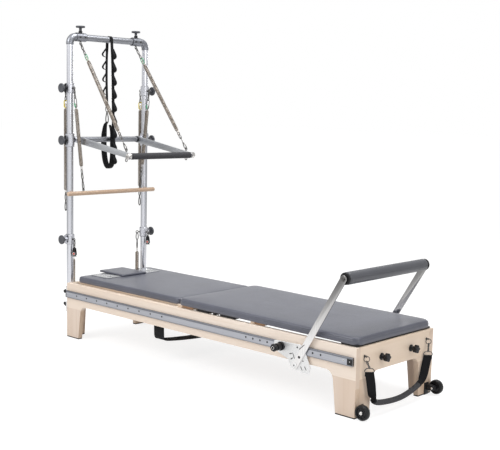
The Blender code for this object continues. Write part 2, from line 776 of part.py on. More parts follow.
def pillow_outline(low, high, inset, corner, draw_in, corner_steps=3, side_steps=1):
    """A rounded rectangle whose sides are drawn in a little between the corners."""
    x0, y0 = low[0] + inset, low[1] + inset
    x1, y1 = high[0] - inset, high[1] - inset
    radius = max(corner - inset, 0.001)
    centre = Vector(((x0 + x1) / 2, (y0 + y1) / 2))
    arcs = []
    for cx, cy, first in ((x1 - radius, y1 - radius, 0.0), (x0 + radius, y1 - radius, pi / 2),
                          (x0 + radius, y0 + radius, pi), (x1 - radius, y0 + radius, 1.5 * pi)):
        arcs.append([Vector((cx + radius * cos(first + pi / 2 * k / corner_steps),
                             cy + radius * sin(first + pi / 2 * k / corner_steps)))
                     for k in range(corner_steps + 1)])
    points = []
    for i, arc in enumerate(arcs):
        points.extend(arc)
        start, end = arc[-1], arcs[(i + 1) % 4][0]
        inward = (centre - (start + end) / 2).normalized()
        for k in range(1, side_steps + 1):
            t = k / (side_steps + 1)
            points.append(start.lerp(end, t) + inward * draw_in * sin(pi * t))
    return points


def cushion(name, low, high, corner, edge, crown, draw_in):
    """A firm upholstered pad: flat below, rolled edges, and a slightly crowned top."""
    height = high[2] - low[2]
    shoulder = height - crown - edge
    layers = ((edge * 0.25, 0.0, 0.2), (0.0, edge * 0.35, 1.0), (0.0, shoulder, 1.0),
              (edge * 0.3, shoulder + edge * 0.72, 0.8), (edge, shoulder + edge, 0.6))
    reach = min(high[0] - low[0], high[1] - low[1]) / 2
    tops = ((0.30, 0.62), (0.62, 0.93))
    work = bmesh.new()
    rings = []
    for inset, rise, drawn in layers:
        outline = pillow_outline(low, high, inset, corner, draw_in * drawn)
        rings.append([work.verts.new((p.x, p.y, low[2] + rise)) for p in outline])
    for share, lift in tops:
        outline = pillow_outline(low, high, reach * share, corner, 0.0)
        top = high[2] - crown * (1 - lift)
        rings.append([work.verts.new((p.x, p.y, top)) for p in outline])
    for lower, upper in zip(rings, rings[1:]):
        count = len(lower)
        for i in range(count):
            j = (i + 1) % count
            work.faces.new((lower[i], lower[j], upper[j], upper[i]))
    work.faces.new(rings[0][::-1])
    work.faces.new(rings[-1])
    return from_bmesh(name, work)


def finish(obj, name, look, carrier, sharp=35.0):
    """Name an object, give it its material, and move its origin to what carries it."""
    obj.name = name
    obj.data.name = name
    obj.data.materials.clear()
    obj.data.materials.append(principled(name + "_finish", look))
    bpy.context.view_layer.update()
    obj.data.shade_smooth()
    obj.data.set_sharp_from_angle(angle=radians(sharp))
    obj.data.transform(Matrix.Translation(-carrier_place[carrier.name]))
    obj.parent = carrier
    return obj


def empty(name, place, parent=None):
    """An empty at a joint's place, given from the head-end face."""
    obj = bpy.data.objects.new(name, None)
    parts.objects.link(obj)
    place = Vector(place)
    carrier_place[name] = place
    if parent:
        obj.parent = parent
        obj.location = place - carrier_place[parent.name]
    return obj


def make_side_panel(name, side):
    """A plank with a leg at each end, cut from one glued board."""
    high = FRAME_TOP
    outline = rounded([
        (0.0, PAD_HEIGHT, WOOD_EDGE),
        (LEG_WIDTH_FOOT, PAD_HEIGHT, WOOD_EDGE),
        (LEG_WIDTH_TOP, RAIL_LOW, RAIL_FILLET),
        (FRAME_LENGTH - LEG_WIDTH_TOP, RAIL_LOW, RAIL_FILLET),
        (FRAME_LENGTH - LEG_WIDTH_FOOT, PAD_HEIGHT, WOOD_EDGE),
        (FRAME_LENGTH, PAD_HEIGHT, WOOD_EDGE),
        (FRAME_LENGTH, high, WOOD_EDGE),
        (0.0, high, WOOD_EDGE),
    ])
    panel = side_plate(name, [outline], side, INNER_Y, HALF_WIDTH)
    panel = cut(panel, [post_groove(side)])
    return finish(panel, name, MAPLE, root)


def post_groove(side):
    """The half-round groove in the head end that a post stands in."""
    return rod("groove", (POST_X, side * POST_Y, POST_FOOT - GAP),
               (POST_X, side * POST_Y, FRAME_TOP + CUT_PAST), bore_radius(POST_RADIUS, GAP, ROUND))


def end_board_outline():
    edge = INNER_Y - GAP
    foot = HALF_WIDTH - END_LEG_WIDTH_FOOT
    top = HALF_WIDTH - END_LEG_WIDTH_TOP
    return rounded([
        (-edge, PAD_HEIGHT, 0.0), (-foot, PAD_HEIGHT, WOOD_EDGE),
        (-top, RAIL_LOW, RAIL_FILLET), (top, RAIL_LOW, RAIL_FILLET),
        (foot, PAD_HEIGHT, WOOD_EDGE), (edge, PAD_HEIGHT, 0.0),
        (edge, FRAME_TOP, 0.0), (-edge, FRAME_TOP, 0.0),
    ])


def make_head_board():
    board = plate("board", [end_board_outline()], 0.0, END_BOARD, ACROSS_END)
    board = cut(board, [post_groove(side) for _, side in SIDES])
    return finish(board, "head_board", MAPLE, root)


def make_foot_board():
    """The foot board, with the two eyebolts that are screwed into it."""
    board = plate("board", [end_board_outline()], FRAME_LENGTH - END_BOARD, FRAME_LENGTH,
                  ACROSS_END)
    holes = []
    for _, side in SIDES:
        holes.append(rod("hole", (FRAME_LENGTH - STAR_SCREW_DEPTH, side * STAR_Y, STAR_Z),
                         (FRAME_LENGTH + CUT_PAST, side * STAR_Y, STAR_Z),
                         bore_radius(STAR_SCREW_RADIUS, RUNNING_GAP, ROUND_SMALL),
                         ROUND_SMALL))
    board = cut(board, holes)
    ring_x = FRAME_LENGTH + FOOT_EYE_RADIUS
    bolts = []
    for _, side in SIDES:
        y = side * FOOT_EYE_Y
        stem = rod("stem", (FRAME_LENGTH - STEM_ROOT, y, FOOT_EYE_Z),
                   (ring_x - FOOT_EYE_RADIUS + EYE_WIRE * 1.5, y, FOOT_EYE_Z), EYE_STEM, ROUND_FINE)
        ring = torus("ring", (ring_x + EYE_WIRE, y, FOOT_EYE_Z), (0, 1, 0), FOOT_EYE_RADIUS,
                     EYE_WIRE, FOOT_EYE_STEPS)
        bolts.extend((stem, ring))
    board = join(board, bolts)
    return finish(board, "foot_board", MAPLE, root)


def head_pad_outline():
    """The L-shaped outline of the rubber pad under a head-end leg, for the far side."""
    y0 = HALF_WIDTH - END_LEG_WIDTH_FOOT + PAD_INSET
    y1 = HALF_WIDTH - PAD_INSET
    short_x = END_BOARD - PAD_INSET
    long_x = LEG_WIDTH_FOOT - PAD_INSET
    step_y = INNER_Y + PAD_INSET
    return [(PAD_INSET, y0), (short_x, y0), (short_x, step_y), (long_x, step_y),
            (long_x, y1), (PAD_INSET, y1)]


def bracket_pad_outline():
    """The same pad at the foot end, with a tongue under the wheel bracket."""
    tip = FRAME_LENGTH + GAP + BRACKET_WALL - WELD
    head, *rest = [(FRAME_LENGTH - x, y) for x, y in head_pad_outline()]
    return [head, (head[0], BRACKET_INNER_Y + WELD), (tip, BRACKET_INNER_Y + WELD),
            (tip, BRACKET_OUTER_Y - WELD), (head[0], BRACKET_OUTER_Y - WELD)] + rest[::-1]


def make_head_pad(name, side):
    outline = [(x, side * y) for x, y in head_pad_outline()]
    pad = plate(name, [outline], 0.0, PAD_HEIGHT - GAP, Matrix.Identity(4))
    return finish(pad, name, RUBBER, root)


def make_wheel_bracket(name, side):
    """The pad under a foot-end leg, with the bracket and axle of its transport wheel."""
    outline = [(x, side * y) for x, y in bracket_pad_outline()]
    pad = plate(name, [outline], 0.0, PAD_HEIGHT - GAP, Matrix.Identity(4))
    face = FRAME_LENGTH + GAP
    wall = face + BRACKET_WALL
    block = side_plate("block", [[(face, WELD), (wall, WELD), (wall, BRACKET_LOW),
                                  (face + BRACKET_REACH, BRACKET_LOW),
                                  (face + BRACKET_REACH, BRACKET_HIGH), (face, BRACKET_HIGH)]],
                       side, BRACKET_INNER_Y, BRACKET_OUTER_Y)
    axle = rod("axle", (CASTOR_X, side * (BRACKET_OUTER_Y - STEM_ROOT), CASTOR_Z),
               (CASTOR_X, side * (CASTOR_OUTER_Y + CASTOR_CAP_WALL - WELD), CASTOR_Z),
               CASTOR_AXLE, ROUND_SMALL)
    cap = rod("cap", (CASTOR_X, side * (CASTOR_OUTER_Y + RUNNING_GAP), CASTOR_Z),
              (CASTOR_X, side * (CASTOR_OUTER_Y + CASTOR_CAP_WALL), CASTOR_Z), CASTOR_CAP, ROUND_SMALL)
    pad = join(pad, [block, axle, cap])
    return finish(pad, name, BLACK_PLASTIC, root)


def make_castor(name, side, carrier):
    """A transport wheel: tyre, recessed web and hub in one turned section."""
    bore = bore_radius(CASTOR_AXLE, RUNNING_GAP, CASTOR_SIDES)
    rim = CASTOR_RADIUS - CASTOR_ROUND
    profile = [(bore, CASTOR_WIDTH), (rim, CASTOR_WIDTH),
               (CASTOR_RADIUS, CASTOR_WIDTH - CASTOR_ROUND), (CASTOR_RADIUS, CASTOR_ROUND),
               (rim, 0.0), (bore, 0.0)]
    wheel = turned(name, profile, (CASTOR_X, side * CASTOR_INNER_Y, CASTOR_Z), (0, side, 0),
                   CASTOR_SIDES, closed=True)
    return finish(wheel, name, RUBBER, carrier)


def make_footbar_track(name, side):
    """The aluminium track on the outside of a plank, with its rows of stop holes."""
    inner = HALF_WIDTH + GAP
    c = TRACK_CHAMFER
    outline = [(side * inner, TRACK_LOW), (side * (TRACK_OUTER_Y - c), TRACK_LOW),
               (side * TRACK_OUTER_Y, TRACK_LOW + c), (side * TRACK_OUTER_Y, TRACK_HIGH - c),
               (side * (TRACK_OUTER_Y - c), TRACK_HIGH), (side * inner, TRACK_HIGH)]
    track = plate(name, [outline], TRACK_INSET, FRAME_LENGTH - 2 * TRACK_INSET, ACROSS_END)
    places = [HEAD_HOLE_X + i * HEAD_HOLE_PITCH for i in range(HEAD_HOLES)]
    places += [STOP_HOLE_X + i * STOP_HOLE_PITCH for i in range(STOP_HOLES)]
    holes = [rod("hole", (x, side * (TRACK_OUTER_Y - TRACK_HOLE_DEPTH), TRACK_MID_Z),
                 (x, side * (TRACK_OUTER_Y + TRACK_HOLE_DEPTH), TRACK_MID_Z),
                 TRACK_HOLE_RADIUS, HOLE_SIDES) for x in places]
    track = cut(track, holes)
    return finish(track, name, ALUMINIUM, root)


def make_runner(name, side):
    """The angle inside a plank that the carriage wheels roll on."""
    outer = INNER_Y - GAP
    outline = [(side * RUNNER_INNER_Y, RUNNER_LOW), (side * (outer - RUNNER_WEB), RUNNER_LOW),
               (side * (outer - RUNNER_WEB), RUNNER_WEB_LOW), (side * outer, RUNNER_WEB_LOW),
               (side * outer, RUNNER_HIGH), (side * RUNNER_INNER_Y, RUNNER_HIGH)]
    runner = plate(name, [outline], END_BOARD + GAP, FRAME_LENGTH - END_BOARD - GAP, ACROSS_END)
    return finish(runner, name, ALUMINIUM, root)


def make_post(name, side):
    """An aluminium tube from its seat in the head-end groove to the elbow."""
    inner = POST_RADIUS - POST_WALL
    height = POST_TOP - POST_FOOT
    profile = [(inner, height), (POST_RADIUS, height), (POST_RADIUS, 0.0), (inner, 0.0)]
    post = turned(name, profile, (POST_X, side * POST_Y, POST_FOOT), (0, 0, 1), ROUND,
                  closed=True)
    return finish(post, name, ALUMINIUM, root)


def knob(start, direction):
    """A clamp knob on its screw, measured from the axis of the tube it clamps."""
    reach = KNOB_REACH
    back = reach - KNOB_DEPTH
    boss = COLLAR_RADIUS + KNOB_BOSS_LENGTH
    root_at = POST_RADIUS + KNOB_ROOT
    profile = [(0.0, reach), (KNOB_RADIUS - KNOB_RIM, reach), (KNOB_RADIUS, reach - KNOB_RIM),
               (KNOB_RADIUS, back), (KNOB_NECK_RADIUS, back - KNOB_BEVEL),
               (KNOB_SCREW_RADIUS, boss + KNOB_RIM), (KNOB_BOSS_RADIUS, boss),
               (KNOB_BOSS_RADIUS, root_at), (0.0, root_at)]
    return turned("knob", profile, start, direction, ROUND_KNOB)


def eyebolt(centre, direction, reach=EYE_REACH, start=POST_RADIUS + EYE_ROOT):
    """An eyebolt whose ring stands upright in the plane of its own stem."""
    centre = Vector(centre)
    direction = Vector(direction).normalized()
    normal = Vector((0, 1, 0)) if abs(direction.z) > 0.5 else direction.cross(Vector((0, 0, 1)))
    stem = rod("stem", centre + direction * start,
               centre + direction * (reach - EYE_RADIUS + EYE_WIRE * 0.5), EYE_STEM, ROUND_FINE)
    ring = torus("ring", centre + direction * reach, normal, EYE_RADIUS, EYE_WIRE)
    return [stem, ring]


def lower_eye_direction(side):
    return Vector((-sin(LOWER_EYE_TURN), -side * cos(LOWER_EYE_TURN), 0.0))


def make_collar(name, side, z, height, eyes, carrier, pivot=False):
    """A sleeve on a post with its clamp knob, its eyebolts, and any pivot pin."""
    axis = Vector((POST_X, side * POST_Y, z))
    inner = bore_radius(POST_RADIUS, GAP, ROUND_COLLAR)
    profile = [(inner, height), (COLLAR_RADIUS, height), (COLLAR_RADIUS, 0.0), (inner, 0.0)]
    sleeve = turned(name, profile, axis - Vector((0, 0, height / 2)), (0, 0, 1), ROUND_COLLAR,
                    closed=True)
    tools = [knob(axis, (0, side, 0))]
    for direction in eyes:
        tools.extend(eyebolt(axis, direction))
    if pivot:
        y0 = POST_Y - POST_RADIUS - EYE_ROOT
        y1 = PUSH_TUBE_HALF + GAP
        centre = (POST_X, side * y0, PUSH_PIVOT_Z)
        tools.append(rod("boss", centre, (POST_X, side * y1, PUSH_PIVOT_Z), PUSH_BOSS_RADIUS,
                         ROUND_COLLAR))
        tools.append(rod("pin", centre, (POST_X, side * (y1 - PUSH_PIN_DEPTH), PUSH_PIVOT_Z),
                         PUSH_PIN_RADIUS, ROUND_SMALL))
    sleeve = join(sleeve, tools)
    return finish(sleeve, name, ELBOW_GREY, carrier)


def make_top_bar():
    """The top bar with its two elbows, and the two collars clamped on it."""
    turn_y = POST_Y - ELBOW_BEND
    bar = rod("bar", (POST_X, -turn_y, TOWER_TOP), (POST_X, turn_y, TOWER_TOP), POST_RADIUS)
    tools = []
    for _, side in SIDES:
        path = [(POST_X, side * POST_Y, POST_TOP + GAP)]
        for k in range(ARC_STEPS + 1):
            angle = pi / 2 * k / ARC_STEPS
            path.append((POST_X, side * (turn_y + ELBOW_BEND * cos(angle)),
                         TOWER_TOP - ELBOW_BEND + ELBOW_BEND * sin(angle)))
        path.append((POST_X, side * (turn_y - ELBOW_OVERLAP), TOWER_TOP))
        tools.append(wire("elbow", path, ELBOW_RADIUS, 3))
        centre = Vector((POST_X, side * TOP_COLLAR_Y, TOWER_TOP))
        half = Vector((0, TOP_COLLAR_LENGTH / 2, 0))
        tools.append(rod("collar", centre - half, centre + half, TOP_COLLAR_RADIUS, ROUND_COLLAR))
        tools.append(knob(centre, (0, 0, 1)))
        tools.extend(eyebolt(centre, (0, 0, -1), TOP_EYE_REACH))
    bar = join(bar, tools)
    return finish(bar, "top_bar", ELBOW_GREY, root)


def make_post_clamp(name, side):
    """Two saddles round the back of a post, with wing screws, on one spine."""
    y = side * POST_Y
    spine_x = POST_X - CLAMP_OUTER
    spine = side_box(name, side, (spine_x, POST_Y - CLAMP_SPINE_HALF, CLAMP_LOWER_Z),
                     (spine_x + CLAMP_SPINE_WALL, POST_Y + CLAMP_SPINE_HALF, CLAMP_UPPER_Z))
    face = -GAP
    arc = [pi * (0.5 + k / ARC_STEPS) for k in range(ARC_STEPS + 1)]
    outer, inner = ([(POST_X + radius * cos(angle), y + radius * sin(angle)) for angle in arc]
                    for radius in (CLAMP_OUTER, CLAMP_INNER))
    outline = ([(face, y + CLAMP_OUTER)] + outer + [(face, y - CLAMP_OUTER)]
               + [(face, y - CLAMP_INNER)] + inner[::-1] + [(face, y + CLAMP_INNER)])
    tools = []
    for z, tilt in ((CLAMP_UPPER_Z, -WING_TILT), (CLAMP_LOWER_Z, WING_TILT)):
        low = z - CLAMP_HEIGHT / 2
        saddle = plate("saddle", [outline], low, low + CLAMP_HEIGHT, Matrix.Identity(4))
        stem = rod("stem", (spine_x + CLAMP_WALL / 2, y, z), (spine_x - WING_STEM, y, z),
                   WING_SCREW_RADIUS, ROUND_FINE)
        hub = Vector((spine_x - WING_HUB, y, z))
        length = (hub.x - WING_TIP_X - WING_HALF * sin(WING_TILT)) / cos(WING_TILT)
        wing = box("wing", (-WING_HALF, -WING_THICK / 2, 0.0), (WING_HALF, WING_THICK / 2, length))
        wing.data.transform(aim(hub, (-cos(tilt), 0.0, sin(tilt))))
        flange = side_box("flange", side, (face - CLAMP_WALL, POST_Y - CLAMP_OUTER - CLAMP_FLANGE,
                                           low),
                          (face, POST_Y - CLAMP_INNER - WELD, low + CLAMP_HEIGHT))
        tools.extend((saddle, stem, wing, flange))
    clamp = join(spine, tools)
    return finish(clamp, name, STEEL, root)


def hook_path(centre, pull, normal):
    """A hook through a ring: centre of the ring, pull direction, ring's normal."""
    pull = pull.normalized()
    normal = (normal - pull * normal.dot(pull)).normalized()
    seat = centre + pull * (EYE_RADIUS - HOOK_SEAT)
    return [seat - normal * HOOK_WIDTH + pull * HOOK_LEG,
            seat - normal * HOOK_WIDTH * 0.95 + pull * HOOK_BEND,
            seat,
            seat + normal * HOOK_WIDTH * 0.95 + pull * HOOK_BEND,
            seat + normal * HOOK_WIDTH + pull * HOOK_LEG,
            seat + pull * HOOK_DROP]


def free_hook_path(end, pull, normal):
    """The open snap hook at the loose end of a spring."""
    pull = pull.normalized()
    wide = normal * SNAP_HALF
    neck = end - pull * SNAP_NECK
    return [end - pull * SNAP_LENGTH, end - pull * (SNAP_LENGTH - SNAP_NECK) + wide,
            neck + wide, end, neck - wide, end - pull * SNAP_GATE - wide]


def coil_path(start, end, curls):
    """A helix between two points on its axis."""
    axis = (end - start).normalized()
    across = axis.cross(Vector((0, 1, 0)) if abs(axis.y) < 0.9 else Vector((1, 0, 0)))
    across.normalize()
    other = axis.cross(across)
    radius = COIL_RADIUS - SPRING_WIRE
    points = []
    count = curls * POINTS_PER_CURL
    for i in range(count + 1):
        angle = 2 * pi * i / POINTS_PER_CURL
        middle = start.lerp(end, i / count)
        points.append(middle + (across * cos(angle) + other * sin(angle)) * radius)
    return points


def least_gap(points):
    """The least clear distance between stretches of a wire that aren't neighbours."""
    least = 1.0
    skip = POINTS_PER_CURL - 1
    for i, a in enumerate(points):
        for b in points[i + skip:]:
            least = min(least, (a - b).length - 2 * SPRING_WIRE)
    return least


def make_spring(name, top, end, normal, lead, tail, curls, carrier, hooked=True):
    """A spring on one unbroken wire: hook, coil, and a second hook or an open snap hook."""
    pull = (end - top).normalized()
    points = hook_path(top, pull, normal)
    points += coil_path(top + pull * lead, end - pull * tail, curls)
    points += hook_path(end, -pull, normal)[::-1] if hooked else free_hook_path(end, pull, normal)
    print(name, "least gap of the wire to itself, mm:", round(least_gap(points) * 1000, 2))
    spring = wire(name, points, SPRING_WIRE, 1)
    return finish(spring, name, SPRING_STEEL, carrier, 60.0)


def make_roll_down_bar(carrier):
    """The wooden dowel, with the two screw eyes that its springs hook in."""
    dowel = rod("dowel", (EYE_CENTRE_X, -DOWEL_HALF, DOWEL_Z), (EYE_CENTRE_X, DOWEL_HALF, DOWEL_Z),
                DOWEL_RADIUS, ROUND_COLLAR)
    tools = []
    for _, side in SIDES:
        centre = Vector((EYE_CENTRE_X, side * DOWEL_EYE_Y, DOWEL_Z))
        tools.extend(eyebolt(centre, (0, 0, 1), DOWEL_EYE_RISE,
                             DOWEL_RADIUS - DOWEL_EYE_DEPTH))
    dowel = join(dowel, tools)
    return finish(dowel, "roll_down_bar", DOWEL_WOOD, carrier)


def push_arm_point(along):
    """A point on the centre line of the push-through bar's arms, by distance."""
    share = along / hypot(PUSH_REACH, PUSH_DROP)
    return POST_X + PUSH_REACH * share, PUSH_PIVOT_Z - PUSH_DROP * share


def make_push_frame(carrier):
    """Cross tube, two flat arms and the grip's inner bar, welded together."""
    tube = rod("tube", (POST_X, -PUSH_TUBE_HALF, PUSH_PIVOT_Z),
               (POST_X, PUSH_TUBE_HALF, PUSH_PIVOT_Z), PUSH_TUBE_RADIUS, ROUND_COLLAR)
    length = hypot(PUSH_REACH, PUSH_DROP)
    slope = atan2(-PUSH_DROP, PUSH_REACH)
    half = PUSH_ARM_HEIGHT / 2
    tip = length + PUSH_ARM_TIP
    tools = []
    for _, side in SIDES:
        corners = [(-half, -half, half * 0.95), (tip, -PUSH_ARM_TIP_HALF, PUSH_ARM_TIP),
                   (tip, PUSH_ARM_TIP_HALF, PUSH_ARM_TIP), (-half, half, half * 0.95)]
        outline = [(x * cos(slope) - y * sin(slope) + POST_X,
                    x * sin(slope) + y * cos(slope) + PUSH_PIVOT_Z)
                   for x, y in rounded(corners, 3)]
        tools.append(side_plate("arm", [outline], side, PUSH_ARM_Y - PUSH_ARM_WALL / 2,
                                PUSH_ARM_Y + PUSH_ARM_WALL / 2))
        x, z = push_arm_point(length - PUSH_EYE_BACK)
        centre = Vector((x, side * PUSH_ARM_Y, z))
        tools.extend(eyebolt(centre, (0, 0, 1), PUSH_EYE_RISE, PUSH_EYE_START))
    bar_end = PUSH_ARM_Y + GRIP_OVERHANG
    x, z = push_arm_point(length)
    tools.append(rod("bar", (x, -bar_end, z), (x, bar_end, z), GRIP_BAR_RADIUS, ROUND_BAR))
    for _, side in SIDES:
        tools.append(rod("cap", (x, side * (bar_end - GRIP_CAP_HALF), z),
                         (x, side * (bar_end + GRIP_CAP_HALF), z), GRIP_CAP_RADIUS, ROUND_BAR))
    tube = join(tube, tools)
    bores = [rod("bore", (POST_X, side * (PUSH_TUBE_HALF + CUT_PAST), PUSH_PIVOT_Z),
                 (POST_X, side * (PUSH_TUBE_HALF - PUSH_PIN_DEPTH - PUSH_PIN_END_GAP), PUSH_PIVOT_Z),
                 bore_radius(PUSH_PIN_RADIUS, RUNNING_GAP, ROUND_COLLAR), ROUND_COLLAR)
             for _, side in SIDES]
    tube = cut(tube, bores)
    return finish(tube, "push_frame", ALUMINIUM, carrier)


def make_push_grip(carrier):
    """The foam sleeve on the push-through bar between its arms."""
    x, z = push_arm_point(hypot(PUSH_REACH, PUSH_DROP))
    half = PUSH_ARM_Y - PUSH_ARM_WALL / 2 - GAP
    inner = bore_radius(GRIP_BAR_RADIUS, GAP, ROUND_COLLAR)
    length = 2 * half
    rim = GRIP_RADIUS - GRIP_RIM
    profile = [(inner, length), (rim, length), (GRIP_RADIUS, length - GRIP_RIM),
               (GRIP_RADIUS, GRIP_RIM), (rim, 0.0), (inner, 0.0)]
    grip = turned("grip", profile, (x, -half, z), (0, 1, 0), ROUND_COLLAR, closed=True)
    return finish(grip, "push_grip", FOAM, carrier)


def make_safety_strap():
    """A webbing sling over the top bar, a ring, and a padded loop round the push tube."""
    over = bore_radius(POST_RADIUS, GAP, 2 * ARC_STEPS) + STRAP_THICK / 2
    path = []
    for k in range(ARC_STEPS + 1):
        angle = pi * k / ARC_STEPS
        path.append((POST_X + over * cos(angle), STRAP_Y, TOWER_TOP + over * sin(angle)))
    drop = TOWER_TOP - STRAP_JOIN_Z
    back = [(POST_X - STRAP_BULGE, STRAP_Y, TOWER_TOP - drop * t) for t in (0.25, 0.6)]
    back += [(POST_X - STRAP_BULGE * 0.5, STRAP_Y, STRAP_JOIN_Z + drop * 0.09)]
    front = [(2 * POST_X - x, y, z) for x, y, z in reversed(back)]
    path += back + [(POST_X, STRAP_Y, STRAP_JOIN_Z)] + front
    sling = band("sling", path, (0, 1, 0), STRAP_WIDTH, STRAP_THICK, closed=True)
    link = torus("link", (POST_X, STRAP_Y, STRAP_JOIN_Z - RING_DROP), (0, 1, 0), RING_DROP,
                 RING_WIRE, ROUND_BAR)
    top = STRAP_JOIN_Z - 2 * RING_DROP
    loop = [(POST_X, STRAP_Y, top)]
    right = [(0.55, 0.10), (0.95, 0.25), (1.0, 0.45), (1.0, 0.80)]
    for share, down in right:
        loop.append((POST_X + LOOP_HALF * share, STRAP_Y, top - (top - LOOP_BOTTOM_Z) * down))
    floor = LOOP_BOTTOM_Z + LOOP_HALF
    for k in range(1, ARC_STEPS):
        angle = -pi * k / ARC_STEPS
        loop.append((POST_X + LOOP_HALF * cos(angle), STRAP_Y, floor + LOOP_HALF * sin(angle)))
    for share, down in reversed(right):
        loop.append((POST_X - LOOP_HALF * share, STRAP_Y, top - (top - LOOP_BOTTOM_Z) * down))
    pad = band("pad", loop, (0, 1, 0), LOOP_WIDTH, LOOP_THICK, closed=True)
    sling = join(sling, [link, pad])
    return finish(sling, "safety_strap", WEBBING, root)


def footbar_plate_outline():
    """The polished side plate, from its stop knob down to the pivot lobe."""
    return rounded([(PIVOT_X + x, PIVOT_Z + z, radius) for x, z, radius in PLATE_OUTLINE], 2)


def make_footbar_plate(name, side, carrier):
    """A side plate that hooks over the track, with the arm's pivot pin and the stop's boss."""
    notch = [(PIVOT_X + x, PIVOT_Z + z) for x, z in PLATE_NOTCH]
    holes = [circle(PIVOT_X + x, PIVOT_Z + z, radius) for x, z, radius in PLATE_HOLES]
    outlines = [footbar_plate_outline(), notch] + holes
    body = side_plate(name, outlines, side, PLATE_INNER_Y, PLATE_OUTER_Y)
    lip_y = TRACK_OUTER_Y - LIP_DEPTH
    weld_y = PLATE_INNER_Y + WELD
    over = TRACK_HIGH + GAP
    under = TRACK_LOW - GAP
    upper = side_box("upper", side, (PIVOT_X + UPPER_LIP[0], lip_y, over),
                     (PIVOT_X + UPPER_LIP[1], weld_y, over + LIP_WALL))
    lower = side_box("lower", side, (PIVOT_X + LOWER_LIP[0], lip_y, under - LOWER_LIP_WALL),
                     (PIVOT_X + LOWER_LIP[1], weld_y, under))
    boss = rod("boss", (LOCK_X, side * weld_y, TRACK_MID_Z),
               (LOCK_X, side * (PLATE_OUTER_Y + LOCK_BOSS_DEPTH), TRACK_MID_Z),
               LOCK_BOSS_RADIUS, ROUND_COLLAR)
    body = join(body, [upper, lower, boss])
    bore = rod("bore", (LOCK_X, side * (PLATE_INNER_Y - CUT_PAST), TRACK_MID_Z),
               (LOCK_X, side * (PLATE_OUTER_Y + LOCK_BOSS_DEPTH + CUT_PAST), TRACK_MID_Z),
               bore_radius(LOCK_PIN_RADIUS, RUNNING_GAP, ROUND_SMALL), ROUND_SMALL)
    body = cut(body, [bore])
    pin = rod("pin", (PIVOT_X, side * weld_y, PIVOT_Z),
              (PIVOT_X, side * (ARM_OUTER_Y + PIVOT_PIN_END), PIVOT_Z), PIVOT_PIN_RADIUS,
              ROUND_BAR)
    head = rod("head", (PIVOT_X, side * (ARM_OUTER_Y + GAP), PIVOT_Z),
               (PIVOT_X, side * (ARM_OUTER_Y + PIVOT_PIN_END + WELD), PIVOT_Z),
               PIVOT_HEAD_RADIUS, ROUND_BAR, PIVOT_HEAD_TOP_RADIUS)
    body = join(body, [pin, head])
    return finish(body, name, STEEL, carrier)


def make_footbar_frame(carrier):
    """Two flat arms joined by the tube inside the footbar's pad."""
    length = hypot(BAR_REACH, BAR_RISE)
    slope = atan2(BAR_RISE, BAR_REACH)
    half = ARM_WIDTH / 2
    tube = rod("tube", (BAR_X, -ARM_INNER_Y - WELD, BAR_Z), (BAR_X, ARM_INNER_Y + WELD, BAR_Z),
               BAR_TUBE_RADIUS)
    corners = [(-half, -half, half * 0.97), (length + half, -half, half * 0.97),
               (length + half, half, half * 0.97), (-half, half, half * 0.97)]
    outline = [(x * cos(slope) - y * sin(slope) + PIVOT_X,
                x * sin(slope) + y * cos(slope) + PIVOT_Z) for x, y in rounded(corners)]
    hole = circle(PIVOT_X, PIVOT_Z, bore_radius(PIVOT_PIN_RADIUS, RUNNING_GAP, ROUND_BAR), ROUND_BAR)
    tools = []
    for _, side in SIDES:
        tools.append(side_plate("arm", [outline, hole], side, ARM_INNER_Y, ARM_OUTER_Y))
        tools.append(rod("bolt", (BAR_X, side * (ARM_OUTER_Y - WELD), BAR_Z),
                         (BAR_X, side * (ARM_OUTER_Y + BAR_BOLT_HEIGHT), BAR_Z), BAR_BOLT_RADIUS,
                         ROUND_SMALL, BAR_BOLT_TOP_RADIUS))
    tube = join(tube, tools)
    return finish(tube, "footbar_frame", STEEL, carrier)


def make_footbar_pad(carrier):
    """The round padded sleeve of the footbar, full in the middle of each end."""
    inner = bore_radius(BAR_TUBE_RADIUS, GAP, ROUND)
    length = 2 * BAR_PAD_HALF
    rim = BAR_PAD_RADIUS - BAR_PAD_ROUND
    profile = [(inner, length), (rim, length), (BAR_PAD_RADIUS, length - BAR_PAD_ROUND),
               (BAR_PAD_RADIUS, BAR_PAD_ROUND), (rim, 0.0), (inner, 0.0)]
    pad = turned("pad", profile, (BAR_X, -BAR_PAD_HALF, BAR_Z), (0, 1, 0), ROUND, closed=True)
    return finish(pad, "footbar_pad", VINYL, carrier)


def make_lock_knob(name, side, carrier):
    """The pull knob of a stop, on the plunger that runs in the plate's boss."""
    back = PLATE_OUTER_Y + LOCK_BOSS_DEPTH + GAP
    tip = PLATE_OUTER_Y + LOCK_REACH
    pin_from = PLATE_INNER_Y + GAP
    foot = tip - LOCK_KNOB_DEPTH
    profile = [(0.0, tip), (LOCK_KNOB_RADIUS - LOCK_ROUND, tip),
               (LOCK_KNOB_RADIUS, tip - LOCK_ROUND), (LOCK_KNOB_RADIUS, foot),
               (LOCK_NECK_RADIUS, foot - LOCK_TAPER), (LOCK_NECK_RADIUS, back + LOCK_TAPER),
               (LOCK_COLLAR_RADIUS, back), (LOCK_PIN_RADIUS, back),
               (LOCK_PIN_RADIUS, pin_from), (0.0, pin_from)]
    body = turned(name, profile, (LOCK_X, 0.0, TRACK_MID_Z), (0, side, 0), ROUND_SMALL)
    return finish(body, name, BLACK_PLASTIC, carrier)


def axle_places():
    return CARRIAGE_HEAD + AXLE_INSET, CARRIAGE_FOOT - AXLE_INSET


